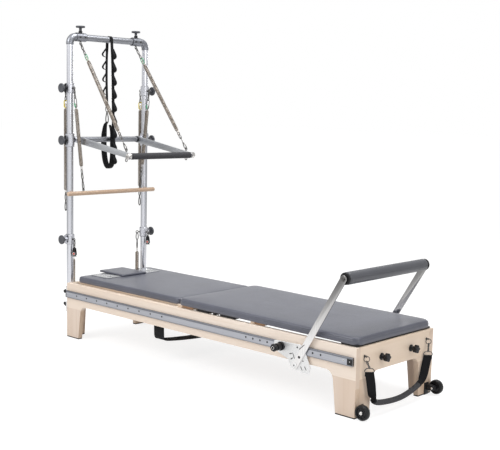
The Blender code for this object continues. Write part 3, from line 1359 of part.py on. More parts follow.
def make_carriage_board(carrier):
    """The plywood board of the carriage, with the hangers of its axles."""
    board = box("board", (CARRIAGE_HEAD + BOARD_SETBACK, -CARRIAGE_HALF + BOARD_SETBACK,
                          CARRIAGE_BOARD_LOW),
                (CARRIAGE_FOOT - BOARD_SETBACK, CARRIAGE_HALF - BOARD_SETBACK,
                 CARRIAGE_BOARD_HIGH))
    tools = []
    for x in axle_places():
        low = AXLE_Z - HANGER_BELOW_AXLE
        high = CARRIAGE_BOARD_LOW + HANGER_ROOT
        outline = rounded([(x - HANGER_HALF, low, HANGER_ROUND),
                           (x + HANGER_HALF, low, HANGER_ROUND),
                           (x + HANGER_HALF, high, 0.0), (x - HANGER_HALF, high, 0.0)], 1)
        hole = circle(x, AXLE_Z, bore_radius(AXLE_RADIUS, RUNNING_GAP, ROUND_SMALL))
        for _, side in SIDES:
            tools.append(side_plate("hanger", [outline, hole], side, HANGER_INNER_Y,
                                    HANGER_INNER_Y + HANGER_WALL))
    board = join(board, tools)
    return finish(board, "carriage_board", PLYWOOD, carrier)


def make_axle(name, x, carrier):
    """One axle of the carriage with the wheel at each of its ends."""
    reach = WHEEL_OUTER_Y + AXLE_OVERHANG
    axle = rod("axle", (x, -reach, AXLE_Z), (x, reach, AXLE_Z), AXLE_RADIUS, ROUND_SMALL)
    wheels = [rod("wheel", (x, side * WHEEL_INNER_Y, AXLE_Z), (x, side * WHEEL_OUTER_Y, AXLE_Z),
                  WHEEL_RADIUS, WHEEL_SIDES) for _, side in SIDES]
    axle = join(axle, wheels)
    return finish(axle, name, BLACK_PLASTIC, carrier)


def make_carriage_pad(carrier):
    pad = cushion("pad", (CARRIAGE_HEAD, -CARRIAGE_HALF, CARRIAGE_BOARD_HIGH + GAP),
                  (CARRIAGE_FOOT, CARRIAGE_HALF, CARRIAGE_PAD_TOP), CARRIAGE_PAD_CORNER,
                  CARRIAGE_PAD_EDGE, PAD_CROWN, PAD_DRAW_IN)
    return finish(pad, "carriage_pad", VINYL, carrier, PAD_SHARP)


def make_headrest(carrier):
    low = CARRIAGE_PAD_TOP + GAP
    pad = cushion("pad", (HEADREST_HEAD, -HEADREST_HALF, low),
                  (HEADREST_FOOT, HEADREST_HALF, low + HEADREST_THICK), HEADREST_CORNER,
                  HEADREST_EDGE, HEADREST_CROWN, HEADREST_DRAW_IN)
    return finish(pad, "headrest", VINYL, carrier, PAD_SHARP)


def make_shoulder_plate(name, side, carrier):
    """A steel socket plate for a shoulder rest, let in on top of the carriage pad."""
    low = CARRIAGE_PAD_TOP + GAP
    ends = sorted((side * SHOULDER_INNER_Y, side * SHOULDER_OUTER_Y))
    outline = rounded([(x, y, SHOULDER_CORNER) for x, y in
                       ((SHOULDER_HEAD, ends[0]), (SHOULDER_FOOT, ends[0]),
                        (SHOULDER_FOOT, ends[1]), (SHOULDER_HEAD, ends[1]))])
    middle = (ends[0] + ends[1]) / 2
    holes = [circle(SHOULDER_FOOT - SHOULDER_HOLE_INSET, middle, SHOULDER_HOLE),
             circle(SHOULDER_FOOT - SHOULDER_SCREW_INSET, middle, SHOULDER_SCREW)]
    body = plate(name, [outline] + holes, low, low + SHOULDER_WALL, Matrix.Identity(4))
    return finish(body, name, STEEL, carrier)


def make_carriage_springs(carrier):
    """The springs under the carriage, from their anchor bar to the rack that holds them."""
    half = PACK_SPACING * PACK_COUNT / 2
    top = CARRIAGE_BOARD_LOW - GAP
    low = PACK_Z - PACK_SPRING_RADIUS - PACK_BAR_BELOW
    anchor = box("anchor", (PACK_ANCHOR_X, -half, low), (PACK_ANCHOR_X + PACK_BAR_WALL, half, top))
    rack = box("rack", (PACK_RACK_X, -half, low), (PACK_RACK_X + PACK_BAR_WALL, half, top))
    tools = [rack]
    start, end, w = PACK_SPRING_END - PACK_ROOT, PACK_HOOK_END, EYE_WIRE
    hook = [(start, PACK_Z - w), (end - 2 * w, PACK_Z - w), (end - 2 * w, PACK_Z - 4 * w),
            (end - 5 * w, PACK_Z - 4 * w), (end - 5 * w, PACK_Z - 6 * w), (end, PACK_Z - 6 * w),
            (end, PACK_Z + w), (start, PACK_Z + w)]
    for i in range(PACK_COUNT):
        y = (i - (PACK_COUNT - 1) / 2) * PACK_SPACING
        tools.append(rod("spring", (PACK_ANCHOR_X + PACK_ROOT, y, PACK_Z),
                         (PACK_SPRING_END, y, PACK_Z), PACK_SPRING_RADIUS, ROUND_SMALL))
        tools.append(side_plate("hook", [hook], 1.0, y - EYE_WIRE, y + EYE_WIRE))
    anchor = join(anchor, tools)
    return finish(anchor, "carriage_springs", SPRING_STEEL, carrier)


def make_spring_bar():
    """The steel bar between the runners that the carriage springs hook on in use."""
    reach = RUNNER_INNER_Y - GAP
    bar = rod("bar", (SPRING_BAR_X, -reach, SPRING_BAR_Z), (SPRING_BAR_X, reach, SPRING_BAR_Z),
              SPRING_BAR_RADIUS, ROUND_COLLAR)
    return finish(bar, "spring_bar", STEEL, root)


def make_long_mat(carrier):
    pad = cushion("pad", (MAT_HEAD, -MAT_HALF, MAT_PAD_LOW), (MAT_FOOT, MAT_HALF, MAT_PAD_TOP),
                  MAT_PAD_CORNER, MAT_PAD_EDGE, PAD_CROWN, PAD_DRAW_IN)
    return finish(pad, "long_mat", VINYL, carrier, PAD_SHARP)


def make_long_mat_board(carrier):
    """The panel under the long mat, and the battens that rest on the planks."""
    high = MAT_PAD_LOW - GAP
    panel = box("panel", (MAT_HEAD + MAT_PANEL_INSET, -MAT_PANEL_HALF, MAT_PANEL_LOW),
                (MAT_FOOT - MAT_PANEL_INSET, MAT_PANEL_HALF, high))
    battens = [box("batten", (x, -MAT_BATTEN_HALF, FRAME_TOP + GAP),
                   (x + width, MAT_BATTEN_HALF, high)) for x, width in MAT_BATTENS]
    panel = join(panel, battens)
    return finish(panel, "long_mat_board", PLYWOOD, carrier)


def make_under_strap():
    """A wide webbing strap that sags under the frame between the planks."""
    reach = INNER_Y - GAP - UNDER_STRAP_THICK / 2
    half = [(UNDER_STRAP_X, reach, UNDER_STRAP_TOP), (UNDER_STRAP_X, reach - WELD, RAIL_LOW)]
    half += [(UNDER_STRAP_X, reach - inward, RAIL_LOW - drop) for inward, drop in UNDER_STRAP_SAG]
    path = half + [(UNDER_STRAP_X, 0.0, RAIL_LOW - UNDER_STRAP_DEPTH)]
    path += [(x, -y, z) for x, y, z in reversed(half)]
    strap = band("strap", smooth_path(path, 2), (1, 0, 0), UNDER_STRAP_WIDTH, UNDER_STRAP_THICK)
    return finish(strap, "under_strap", WEBBING, root)


def foot_strap_path():
    """The middle line of the foot strap, from ring to ring."""
    x = FOOT_STRAP_X
    half = [(x, FOOT_RING_Y, FOOT_RING_Z)]
    half += [(x, FOOT_EYE_Y - inward, z) for inward, z in FOOT_STRAP_CURVE]
    path = half + [(x, 0.0, FOOT_STRAP_BOTTOM)]
    return path + [(a, -b, c) for a, b, c in reversed(half)]


def make_foot_strap(carrier):
    """The hand strap at the foot end: snap hooks, rings, webbing and padded handle."""
    path = smooth_path(foot_strap_path(), 2)
    strap = band("strap", path, (1, 0, 0), FOOT_STRAP_WIDTH, FOOT_STRAP_THICK)
    grip = [p for p in smooth_path(foot_strap_path(), 3)[1::2] if p.z < HANDLE_TOP]
    tools = [wire("handle", grip, HANDLE_RADIUS, 1)]
    eye_x = FRAME_LENGTH + FOOT_EYE_RADIUS + EYE_WIRE
    for _, side in SIDES:
        y = side * FOOT_EYE_Y
        ring_y = side * FOOT_RING_Y
        tools.append(rod("ring", (FOOT_STRAP_X - FOOT_RING_HALF, ring_y, FOOT_RING_Z),
                         (FOOT_STRAP_X + FOOT_RING_HALF, ring_y, FOOT_RING_Z), FOOT_RING_WIRE,
                         ROUND_FINE))
        seat = FOOT_EYE_Z - FOOT_EYE_RADIUS + EYE_WIRE + SPRING_WIRE + GAP
        wide = side * SNAP_WIDTH
        path = [(eye_x + out, y + wide * share, seat - drop) for out, share, drop in FOOT_HOOK]
        path.append((FOOT_STRAP_X, ring_y, FOOT_RING_Z))
        tools.append(wire("hook", path, SPRING_WIRE, 1))
    strap = join(strap, tools)
    return finish(strap, "foot_strap", WEBBING, carrier)


def make_star_knob(name, side, carrier):
    """A lobed hand knob on its screw, with the round base that bears on the board."""
    outline = []
    steps = STAR_LOBES * 4
    for i in range(steps):
        angle = 2 * pi * i / steps
        radius = STAR_RADIUS * (0.88 + 0.12 * cos(STAR_LOBES * angle))
        outline.append((side * STAR_Y + radius * cos(angle), STAR_Z + radius * sin(angle)))
    face = FRAME_LENGTH + GAP
    back = FRAME_LENGTH + STAR_STAND
    head = plate(name, [outline], back, back + STAR_HEIGHT, ACROSS_END)
    centre = (side * STAR_Y, STAR_Z)
    base = rod("base", (face, *centre), (face + STAR_BASE_WALL, *centre), STAR_BASE_RADIUS,
               ROUND_COLLAR)
    neck = rod("neck", (face + STAR_BASE_WALL - WELD, *centre), (back + WELD, *centre),
               STAR_NECK_RADIUS, ROUND_SMALL)
    screw = rod("screw", (FRAME_LENGTH - STAR_SCREW_DEPTH + WELD, *centre),
                (face + STAR_BASE_WALL / 2, *centre), STAR_SCREW_RADIUS, ROUND_SMALL)
    head = join(head, [base, neck, screw])
    return finish(head, name, BLACK_PLASTIC, carrier)


def make_pulley(name, side, carrier):
    """A pulley block that hangs from the front eyebolt of a lower collar."""
    x, y, z = EYE_CENTRE_X, side * POST_Y, LOWER_COLLAR_Z
    half = PULLEY_WIDTH / 2
    top = z - EYE_RADIUS - PULLEY_NECK
    outline = rounded([(x - half, top - PULLEY_HEIGHT, half * 0.8),
                       (x + half, top - PULLEY_HEIGHT, half * 0.8),
                       (x + half * 0.6, top, PULLEY_NECK_ROUND),
                       (x - half * 0.6, top, PULLEY_NECK_ROUND)])
    cheek = side_plate(name, [outline], 1.0, y - PULLEY_DEPTH / 2, y + PULLEY_DEPTH / 2)
    middle = top - PULLEY_HEIGHT + half
    slot = PULLEY_SLOT
    cheek = cut(cheek, [box("slot", (x - PULLEY_WIDTH, y - slot, top - PULLEY_HEIGHT - half),
                            (x + PULLEY_WIDTH, y + slot, top - PULLEY_SHOULDER))])
    sheave = rod("sheave", (x, y - slot - WELD, middle), (x, y + slot + WELD, middle),
                 SHEAVE_RADIUS, ROUND_KNOB)
    centre = Vector((x, y, z))
    points = hook_path(centre, Vector((0, 0, -1)), Vector((0, 1, 0)))
    swivel = rod("swivel", (x, y, points[-1].z + EYE_ROOT), (x, y, top - EYE_ROOT),
                 SWIVEL_RADIUS, ROUND_FINE)
    proud = PULLEY_DEPTH / 2 + PULLEY_BOLT_PROUD
    bolt = rod("bolt", (x, y - proud, middle), (x, y + proud, middle), PULLEY_BOLT_RADIUS,
               ROUND_FINE)
    cheek = join(cheek, [swivel, wire("hook", points, SPRING_WIRE, 1), sheave, bolt])
    return finish(cheek, name, BLACK_PLASTIC, carrier)


clear_scene()
parts = new_collection("pilates_reformer_with_tower")
cutters = new_collection("cutters")
carrier_place = {}

root = empty("reformer", (0, 0, 0))
root.location = (HEAD_X, 0, 0)

for label, sign in SIDES:
    make_side_panel("side_panel_" + label, sign)
make_head_board()
make_foot_board()
for label, sign in SIDES:
    make_head_pad("head_foot_pad_" + label, sign)
    make_wheel_bracket("wheel_bracket_" + label, sign)
    make_footbar_track("footbar_track_" + label, sign)
    make_runner("carriage_runner_" + label, sign)
    make_post("post_" + label, sign)
    make_post_clamp("post_clamp_" + label, sign)
make_top_bar()
make_safety_strap()
make_spring_bar()
make_under_strap()

carriage = empty("carriage_slide", (CARRIAGE_HEAD, 0, AXLE_Z), root)
make_carriage_board(carriage)
make_carriage_pad(carriage)
make_carriage_springs(carriage)
for label, sign in SIDES:
    make_shoulder_plate("shoulder_plate_" + label, sign, carriage)
for label, axle_x in zip(("head", "foot"), axle_places()):
    make_axle("axle_" + label, axle_x, empty("axle_spin_" + label, (axle_x, 0, AXLE_Z), carriage))
make_headrest(empty("headrest_tilt", (HEADREST_FOOT, 0, CARRIAGE_PAD_TOP + GAP), carriage))
mat = empty("long_mat_lift", (MAT_HEAD, 0, FRAME_TOP), carriage)
make_long_mat(mat)
make_long_mat_board(mat)

footbar = empty("footbar_slide", (LOCK_X, 0, TRACK_MID_Z), root)
fold = empty("footbar_fold", (PIVOT_X, 0, PIVOT_Z), footbar)
for label, sign in SIDES:
    make_footbar_plate("footbar_plate_" + label, sign, footbar)
    pull = empty("lock_pull_" + label, (LOCK_X, sign * PLATE_OUTER_Y, TRACK_MID_Z), footbar)
    make_lock_knob("lock_knob_" + label, sign, pull)
make_footbar_frame(fold)
make_footbar_pad(fold)

push = empty("push_bar_swing", (POST_X, 0, PUSH_PIVOT_Z), root)
make_push_frame(push)
make_push_grip(push)

down = Vector((0, 0, -1))
across_y = Vector((0, 1, 0))
upper = empty("upper_collars_slide", (POST_X, 0, UPPER_COLLAR_Z), root)
roll = empty("roll_down_swing", (EYE_CENTRE_X, 0, UPPER_COLLAR_Z), upper)
make_roll_down_bar(roll)
for label, sign in SIDES:
    both = ((1, 0, 0), (-1, 0, 0))
    make_collar("upper_collar_" + label, sign, UPPER_COLLAR_Z, COLLAR_HEIGHT, both, upper)
    make_collar("mid_collar_" + label, sign, MID_COLLAR_Z, MID_COLLAR_HEIGHT, (), root, True)

    roll_top = Vector((EYE_CENTRE_X, sign * POST_Y, UPPER_COLLAR_Z))
    roll_end = Vector((EYE_CENTRE_X, sign * DOWEL_EYE_Y, DOWEL_Z + DOWEL_EYE_RISE))
    make_spring("roll_down_spring_" + label, roll_top, roll_end, across_y, ROLL_LEAD, ROLL_TAIL,
                ROLL_CURLS, roll)

    leg_top = Vector((POST_X - EYE_REACH, sign * POST_Y, UPPER_COLLAR_Z))
    leg = empty("leg_spring_swing_" + label, leg_top, upper)
    leg_end = leg_top + down * (LEG_LEAD + LEG_COIL + LEG_TAIL)
    make_spring("leg_spring_" + label, leg_top, leg_end, across_y, LEG_LEAD, LEG_TAIL, LEG_CURLS,
                leg, hooked=False)

    slide = empty("lower_collar_slide_" + label, (POST_X, sign * POST_Y, LOWER_COLLAR_Z), root)
    inward = lower_eye_direction(sign)
    make_collar("lower_collar_" + label, sign, LOWER_COLLAR_Z, COLLAR_HEIGHT,
                (inward, (1, 0, 0)), slide)
    lower_top = Vector((POST_X, sign * POST_Y, LOWER_COLLAR_Z)) + inward * EYE_REACH
    swing = empty("lower_spring_swing_" + label, lower_top, slide)
    lower_end = lower_top + down * (LOWER_LEAD + LOWER_COIL + LOWER_TAIL)
    make_spring("lower_spring_" + label, lower_top, lower_end, inward.cross(Vector((0, 0, 1))),
                LOWER_LEAD, LOWER_TAIL, LOWER_CURLS, swing, hooked=False)
    hinge = empty("pulley_swing_" + label, (EYE_CENTRE_X, sign * POST_Y, LOWER_COLLAR_Z), slide)
    make_pulley("pulley_" + label, sign, hinge)

    push_top = Vector((POST_X, sign * TOP_COLLAR_Y, TOWER_TOP - TOP_EYE_REACH))
    arm_x, arm_z = push_arm_point(hypot(PUSH_REACH, PUSH_DROP) - PUSH_EYE_BACK)
    push_end = Vector((arm_x, sign * PUSH_ARM_Y, arm_z + PUSH_EYE_RISE))
    make_spring("push_spring_" + label, push_top, push_end, across_y, PUSH_LEAD, PUSH_TAIL,
                PUSH_CURLS, root)

strap_hinge = empty("foot_strap_swing", (FRAME_LENGTH + FOOT_EYE_RADIUS, 0, FOOT_EYE_Z), root)
make_foot_strap(strap_hinge)
for label, sign in SIDES:
    star = empty("star_knob_turn_" + label, (FRAME_LENGTH, sign * STAR_Y, STAR_Z), root)
    make_star_knob("star_knob_" + label, sign, star)
    spin = empty("transport_wheel_spin_" + label, (CASTOR_X, sign * CASTOR_INNER_Y, CASTOR_Z), root)
    make_castor("transport_wheel_" + label, sign, spin)

bpy.context.view_layer.update()
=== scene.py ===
"""Looks of the pilates reformer with tower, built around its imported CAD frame.

Metres, +Z up, +X to the foot end.  Every size is measured from the head-end face of the
wooden frame; HEAD_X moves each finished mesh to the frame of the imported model.  Steps of
less than a millimetre keep the faces of one piece off those of the next.
"""
import bpy
import bmesh
from math import atan2, cos, hypot, pi, radians, sin, tan
from mathutils import Matrix, Vector, noise


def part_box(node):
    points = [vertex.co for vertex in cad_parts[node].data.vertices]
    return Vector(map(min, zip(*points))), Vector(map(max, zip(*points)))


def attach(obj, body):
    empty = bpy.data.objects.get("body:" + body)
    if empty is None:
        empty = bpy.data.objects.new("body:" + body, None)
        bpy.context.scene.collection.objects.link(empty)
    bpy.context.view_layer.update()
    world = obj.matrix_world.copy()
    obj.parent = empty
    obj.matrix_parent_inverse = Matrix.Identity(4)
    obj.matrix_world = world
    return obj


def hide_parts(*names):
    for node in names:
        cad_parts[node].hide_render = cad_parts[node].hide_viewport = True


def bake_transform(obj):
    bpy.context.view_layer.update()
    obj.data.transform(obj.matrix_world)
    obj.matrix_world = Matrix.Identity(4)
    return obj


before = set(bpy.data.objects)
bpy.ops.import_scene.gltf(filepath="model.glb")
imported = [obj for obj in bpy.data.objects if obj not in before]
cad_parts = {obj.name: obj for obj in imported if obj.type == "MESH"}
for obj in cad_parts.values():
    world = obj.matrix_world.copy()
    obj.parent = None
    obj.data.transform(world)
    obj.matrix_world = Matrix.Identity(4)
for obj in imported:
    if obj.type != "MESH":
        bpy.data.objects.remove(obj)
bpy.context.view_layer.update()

HEAD_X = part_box("side_panel_near")[0].x
SIDES = (("near", -1.0), ("far", 1.0))
X_AXIS, Y_AXIS, Z_AXIS = Vector((1, 0, 0)), Vector((0, 1, 0)), Vector((0, 0, 1))
FLAT = Matrix.Identity(4)
ALONG_SIDE = Matrix.Rotation(pi / 2, 4, 'X')
ACROSS_END = Matrix(((0, 0, 1, 0), (1, 0, 0, 0), (0, 1, 0, 0), (0, 0, 0, 1)))

# Wooden frame
FRAME_LENGTH = 2.348
HALF_WIDTH = 0.340
INNER_Y = 0.308
FRAME_TOP = 0.3555
RAIL_LOW = 0.2175
PAD_HEIGHT = 0.006
LEG_FOOT = 0.122
LEG_TOP = 0.147
END_LEG_TOP = 0.134
RAIL_FILLET = 0.050
END_BOARD = 0.030
GLUE_LINE_Z = 0.193

# Tower
POST_X = -0.004
POST_Y = 0.312
POST_RADIUS = 0.0212
POST_FOOT = 0.110
TOWER_TOP = 1.935
ELBOW_BEND = 0.040
ELBOW_RADIUS = 0.0240
ELBOW_LOW = 1.887
TOP_COLLAR_Y = 0.230
TOP_COLLAR_RADIUS = 0.0275
TOP_EYE_Z = 1.8975
COLLAR_RADIUS = 0.0285
COLLAR_HEIGHT = 0.061
PIVOT_COLLAR_HEIGHT = 0.082
TOP_COLLAR_LENGTH = 0.076
UPPER_COLLAR_Z = 1.610
MID_COLLAR_Z = 1.2795
LOWER_COLLAR_Z = 0.640
EYE_REACH = 0.0455
EYE_CENTRE_X = 0.0415
EYE_RADIUS = 0.0085
EYE_WIRE = 0.0025
INWARD_TURN = radians(25)
CLAMP_INNER = 0.0217
CLAMP_OUTER = 0.0257
CLAMP_HALF = 0.030
WING_TILT = radians(32)
WING_END_X = -1.2498 - HEAD_X

# Push-through bar
PUSH_Z = 1.283
PUSH_TUBE_RADIUS = 0.018
PUSH_TUBE_HALF = 0.266
PUSH_ARM_Y = 0.2495
PUSH_REACH = 0.531
PUSH_DROP = 0.084
GRIP_RADIUS = 0.020

# Springs and roll-down bar
DOWEL_Z = 0.938
DOWEL_HALF = 0.3625
DOWEL_RADIUS = 0.014
DOWEL_EYE_Y = 0.239
WIRE = 0.0018
COIL_OUTER = 0.0126
COIL_PITCH = 0.0040
PUSH_WIRE = 0.0026
PUSH_COIL_PITCH = 0.0082
ROLL_SPRING_END_Z = 0.9615
LEG_SPRING_LENGTH = 0.790
ARM_SPRING_LENGTH = 0.505
PUSH_SPRING_END_X = 0.4855
PUSH_SPRING_END_Z = 1.2376

# Pulleys
PULLEY_TOP = 0.6135
PULLEY_HEIGHT = 0.0560
PULLEY_HALF = 0.0170
PULLEY_TURN = radians(24)

# Footbar
LOCK_X = 1.876
TRACK_MID_Z = 0.285
TRACK_LOW = 0.263
TRACK_HIGH = 0.307
TRACK_INNER_Y = HALF_WIDTH + 0.0003
TRACK_OUTER_Y = 0.3523
PIVOT = Vector((1.975, 0.0, 0.203))
BAR = Vector((2.270, 0.0, 0.690))
PLATE_INNER_Y = 0.3526
PLATE_OUTER_Y = 0.3566
ARM_INNER_Y = 0.3569
ARM_OUTER_Y = 0.3629
ARM_HALF = 0.019
BAR_RADIUS = 0.0165
SLEEVE_HALF = 0.3419
SLEEVE_RADIUS = 0.032
SLEEVE_ROLL = 0.010
SLEEVE_RIM_Y = 0.3425

# Carriage and mat
CARRIAGE_HEAD = 0.067
CARRIAGE_FOOT = 1.035
PAD_LOW = 0.3657
PAD_TOP = 0.405
AXLES = (("head", 0.200), ("foot", 0.925))
AXLE_Z = 0.3223
SOCKET_LOW = 0.4053
SHOULDER_X = (0.100, 0.270)
SHOULDER_Y = (0.105, 0.225)
SHOULDER_HOLES_X = (0.225, 0.255)
PACK_Z = 0.305
SPRING_BAR_X = 2.135
SPRING_BAR_Z = 0.298
MAT_HEAD = 1.045
MAT_FOOT = 2.343
MAT_HALF = 0.328
MAT_LOW = 0.3723
MAT_TOP = 0.415
MAT_SETTLE = 0.008
BLOCK_LOW = 0.3560

# Straps, star knobs and wheels
UNDER_STRAP_X = 0.865
FOOT_EYE = Vector((2.364, 0.275, 0.307))
STAR_Y = 0.130
STAR_Z = 0.281
CASTOR = Vector((2.3885, 0.315, 0.0415))
STRAP_TURN = Vector((0.70, 0.714, 0.0))


# Shells: a list of points and a list of faces

def mm(*points):
    """Points written in millimetres."""
    return [tuple(v / 1000 for v in point) for point in points]


def angles(count):
    return [2 * pi * k / count for k in range(count)]


def joined(*shells):
    points, faces = [], []
    for more_points, more_faces in shells:
        start = len(points)
        points.extend(more_points)
        faces.extend(tuple(i + start for i in face) for face in more_faces)
    return points, faces


def moved(shell, matrix):
    return [matrix @ Vector(p) for p in shell[0]], shell[1]


def aim(start, direction):
    turn = Z_AXIS.rotation_difference(Vector(direction).normalized())
    return Matrix.Translation(Vector(start)) @ turn.to_matrix().to_4x4()


def skin(points, rows, columns, closed=False):
    """Faces round a run of rings, with a cap at both ends unless the run is closed."""
    faces = []
    for i in range(rows if closed else rows - 1):
        j = (i + 1) % rows
        for k in range(columns):
            m = (k + 1) % columns
            faces.append((i * columns + k, i * columns + m, j * columns + m, j * columns + k))
    if not closed:
        faces.append(tuple(reversed(range(columns))))
        faces.append(tuple(range((rows - 1) * columns, rows * columns)))
    return points, faces


def headings(path, closed=False):
    """Each point of a path, with the way the path runs there."""
    places = [Vector(p) for p in path]
    count = len(places)
    pairs = []
    for i, place in enumerate(places):
        before = places[i - 1] if i or closed else place
        after = places[(i + 1) % count] if i < count - 1 or closed else place
        pairs.append((place, (after - before).normalized()))
    return pairs


def tube(path, radius, sides=20, closed=False):
    """A round tube along a path; radius is one number, or one for each point."""
    run = headings(path, closed)
    radii = radius if isinstance(radius, (list, tuple)) else [radius] * len(run)
    points = []
    normal = run[0][1].orthogonal()
    for (place, along), here in zip(run, radii):
        normal = (normal - along * normal.dot(along)).normalized()
        other = along.cross(normal)
        points += [place + (normal * cos(a) + other * sin(a)) * here for a in angles(sides)]
    return skin(points, len(run), sides, closed)


def sweep(path, section, across):
    """A section of (across, out) points along a path; across is one vector, or one a point."""
    run = headings(path)
    points = []
    for i, (place, along) in enumerate(run):
        side = across[i] if isinstance(across, list) else across
        out = along.cross(side).normalized()
        points.extend(place + side * u + out * v for u, v in section)
    return skin(points, len(run), len(section))


def web_section(width, thick):
    """A webbing's section, with soft edges and a slightly raised selvedge."""
    w, t = width / 2, thick / 2
    half = [(-w + t, -t), (-w * 0.8, -t), (-w * 0.7, -t * 0.75), (w * 0.7, -t * 0.75),
            (w * 0.8, -t), (w - t, -t), (w, 0)]
    return half + [(-u, -v) for u, v in half]


def lathe(profile, start, direction, sides=40, closed=False):
    """A profile of (radius, height) points turned about a line through start."""
    points, faces, rings = [], [], []
    for radius, height in profile:
        count = 1 if radius < 1e-6 else sides
        rings.append(range(len(points), len(points) + count))
        points += [Vector((radius * cos(a), radius * sin(a), height)) for a in angles(count)]
    for lower, upper in zip(rings, rings[1:] + (rings[:1] if closed else [])):
        for k in range(sides):
            m = (k + 1) % sides
            if len(lower) == 1 and len(upper) > 1:
                faces.append((lower[0], upper[m], upper[k]))
            elif len(upper) == 1 and len(lower) > 1:
                faces.append((lower[k], lower[m], upper[0]))
            elif len(lower) > 1:
                faces.append((lower[k], lower[m], upper[m], upper[k]))
    if not closed:
        faces += [tuple(end) for end in (rings[0], rings[-1]) if len(end) > 1]
    place = aim(start, direction)
    return [place @ p for p in points], faces


def side_lathe(profile, side, x, y, z, sides=40, closed=False):
    """A turned form on one side of the part, its heights counted outwards."""
    return lathe(profile, (x, side * y, z), (0, side, 0), sides, closed)


def button(place, direction, sides, *sizes):
    """A low screw head: two heights and two radii, in millimetres."""
    high, shoulder, flat, rim = sizes
    return lathe(mm((0, high), (flat, shoulder), (rim, 0), (0, -1)), place, direction, sides)


def band(bore, radius, thick, centre, axis, sides):
    """A thin flat ring, centred on a point."""
    profile = [(bore, 0.0), (radius, 0.0), (radius, thick), (bore, thick)]
    return lathe(profile, Vector(centre) - Vector(axis) * thick / 2, axis, sides, closed=True)


def rod(start, end, radius, sides=24, round_off=0.0):
    """A straight bar whose rims are rounded off a little."""
    start, end = Vector(start), Vector(end)
    r, length = round_off, (end - start).length
    rim = [(radius - r, 0.0), (radius - r * 0.3, r * 0.3), (radius, r)] if r else [(radius, 0.0)]
    return lathe(rim + [(x, length - z) for x, z in reversed(rim)], start, end - start, sides)


def side_rod(side, x, z, inner, outer, radius, sides=24, round_off=0.0):
    """A bar across the part, between two distances from its middle plane."""
    return rod((x, side * inner, z), (x, side * outer, z), radius, sides, round_off)


def ring(centre, axis, major, minor, steps=32, sides=12):
    profile = [(major + minor * cos(a), minor * sin(a)) for a in angles(sides)]
    return lathe(profile, centre, axis, steps, closed=True)


def oval(centre, along, across, half_length, half_width, wire, steps=12):
    """A closed wire link with straight sides and round ends."""
    along, across = Vector(along).normalized(), Vector(across).normalized()
    path = []
    for end in (1, -1):
        for k in range(steps + 1):
            angle = pi * k / steps
            reach = half_length - half_width + half_width * sin(angle)
            path.append(Vector(centre) + along * end * reach
                        + across * end * half_width * cos(angle))
    return tube(path, wire, 10, closed=True)


def snap_hook(top, pull, across, length, half, wire):
    """A spring snap hook, as one closed pear-shaped wire."""
    path = []
    for angle in angles(24):
        down = (1 - cos(angle)) / 2
        wide = half * sin(angle) * (0.62 + 0.38 * down)
        path.append(top + pull * length * down + across * wide)
    return tube(path, wire * 1.35, 10, closed=True)


def linked(base, pull, rows):
    """Hooks, ovals, rings and swivel rods in a row; each starts with its place along the pull."""
    shells = []
    for kind, at, *size in rows:
        place = base + pull * at
        if kind == "hook":
            shells.append(snap_hook(place, pull, *size))
        elif kind == "oval":
            shells.append(oval(place, pull, *size))
        elif kind == "ring":
            shells.append(ring(place, *size, 24, 10))
        else:
            end, *look = size if len(size) == 4 else (*size, 14, 0.001)
            shells.append(rod(place, base + pull * end, *look))
    return shells


def from_work(work):
    work.verts.index_update()
    shell = ([v.co.copy() for v in work.verts],
             [tuple(v.index for v in f.verts) for f in work.faces])
    work.free()
    return shell


def block(low, high, edge=0.001, steps=2):
    """A box with rounded edges."""
    low, high = Vector(low), Vector(high)
    work = bmesh.new()
    bmesh.ops.create_cube(work, size=1.0)
    bmesh.ops.scale(work, vec=high - low, verts=work.verts[:])
    bmesh.ops.translate(work, vec=(low + high) / 2, verts=work.verts[:])
    if edge:
        bmesh.ops.bevel(work, geom=work.edges[:], offset=edge, segments=steps, profile=0.5,
                        affect='EDGES')
    return from_work(work)


def side_block(side, low, high, edge=0.001, steps=2):
    points, faces = block(low, high, edge, steps)
    return [Vector((x, y * side, z)) for x, y, z in points], faces


def rounded(corners, steps=8):
    """A polygon's corners (x, y, radius), each rounded by an arc of its radius."""
    points = []
    for i, (x, y, radius) in enumerate(corners):
        if radius <= 0:
            points.append((x, y))
            continue
        here = Vector((x, y))
        before = (Vector(corners[i - 1][:2]) - here).normalized()
        after = (Vector(corners[(i + 1) % len(corners)][:2]) - here).normalized()
        half = before.angle(after) / 2
        centre = here + (before + after).normalized() * (radius / sin(half))
        start = here + before * (radius / tan(half)) - centre
        end = here + after * (radius / tan(half)) - centre
        first = atan2(start.y, start.x)
        turn = (atan2(end.y, end.x) - first + pi) % (2 * pi) - pi
        points += [(centre.x + radius * cos(first + turn * k / steps),
                    centre.y + radius * sin(first + turn * k / steps)) for k in range(steps + 1)]
    return points


def leaning(corners, steps, slope, x, z):
    """A rounded outline, turned by a slope about its own zero and set down at x, z."""
    return [(u * cos(slope) - v * sin(slope) + x, u * sin(slope) + v * cos(slope) + z)
            for u, v in rounded(corners, steps)]


def circle(x, y, radius, sides=24):
    return [(x + radius * cos(a), y + radius * sin(a)) for a in angles(sides)]


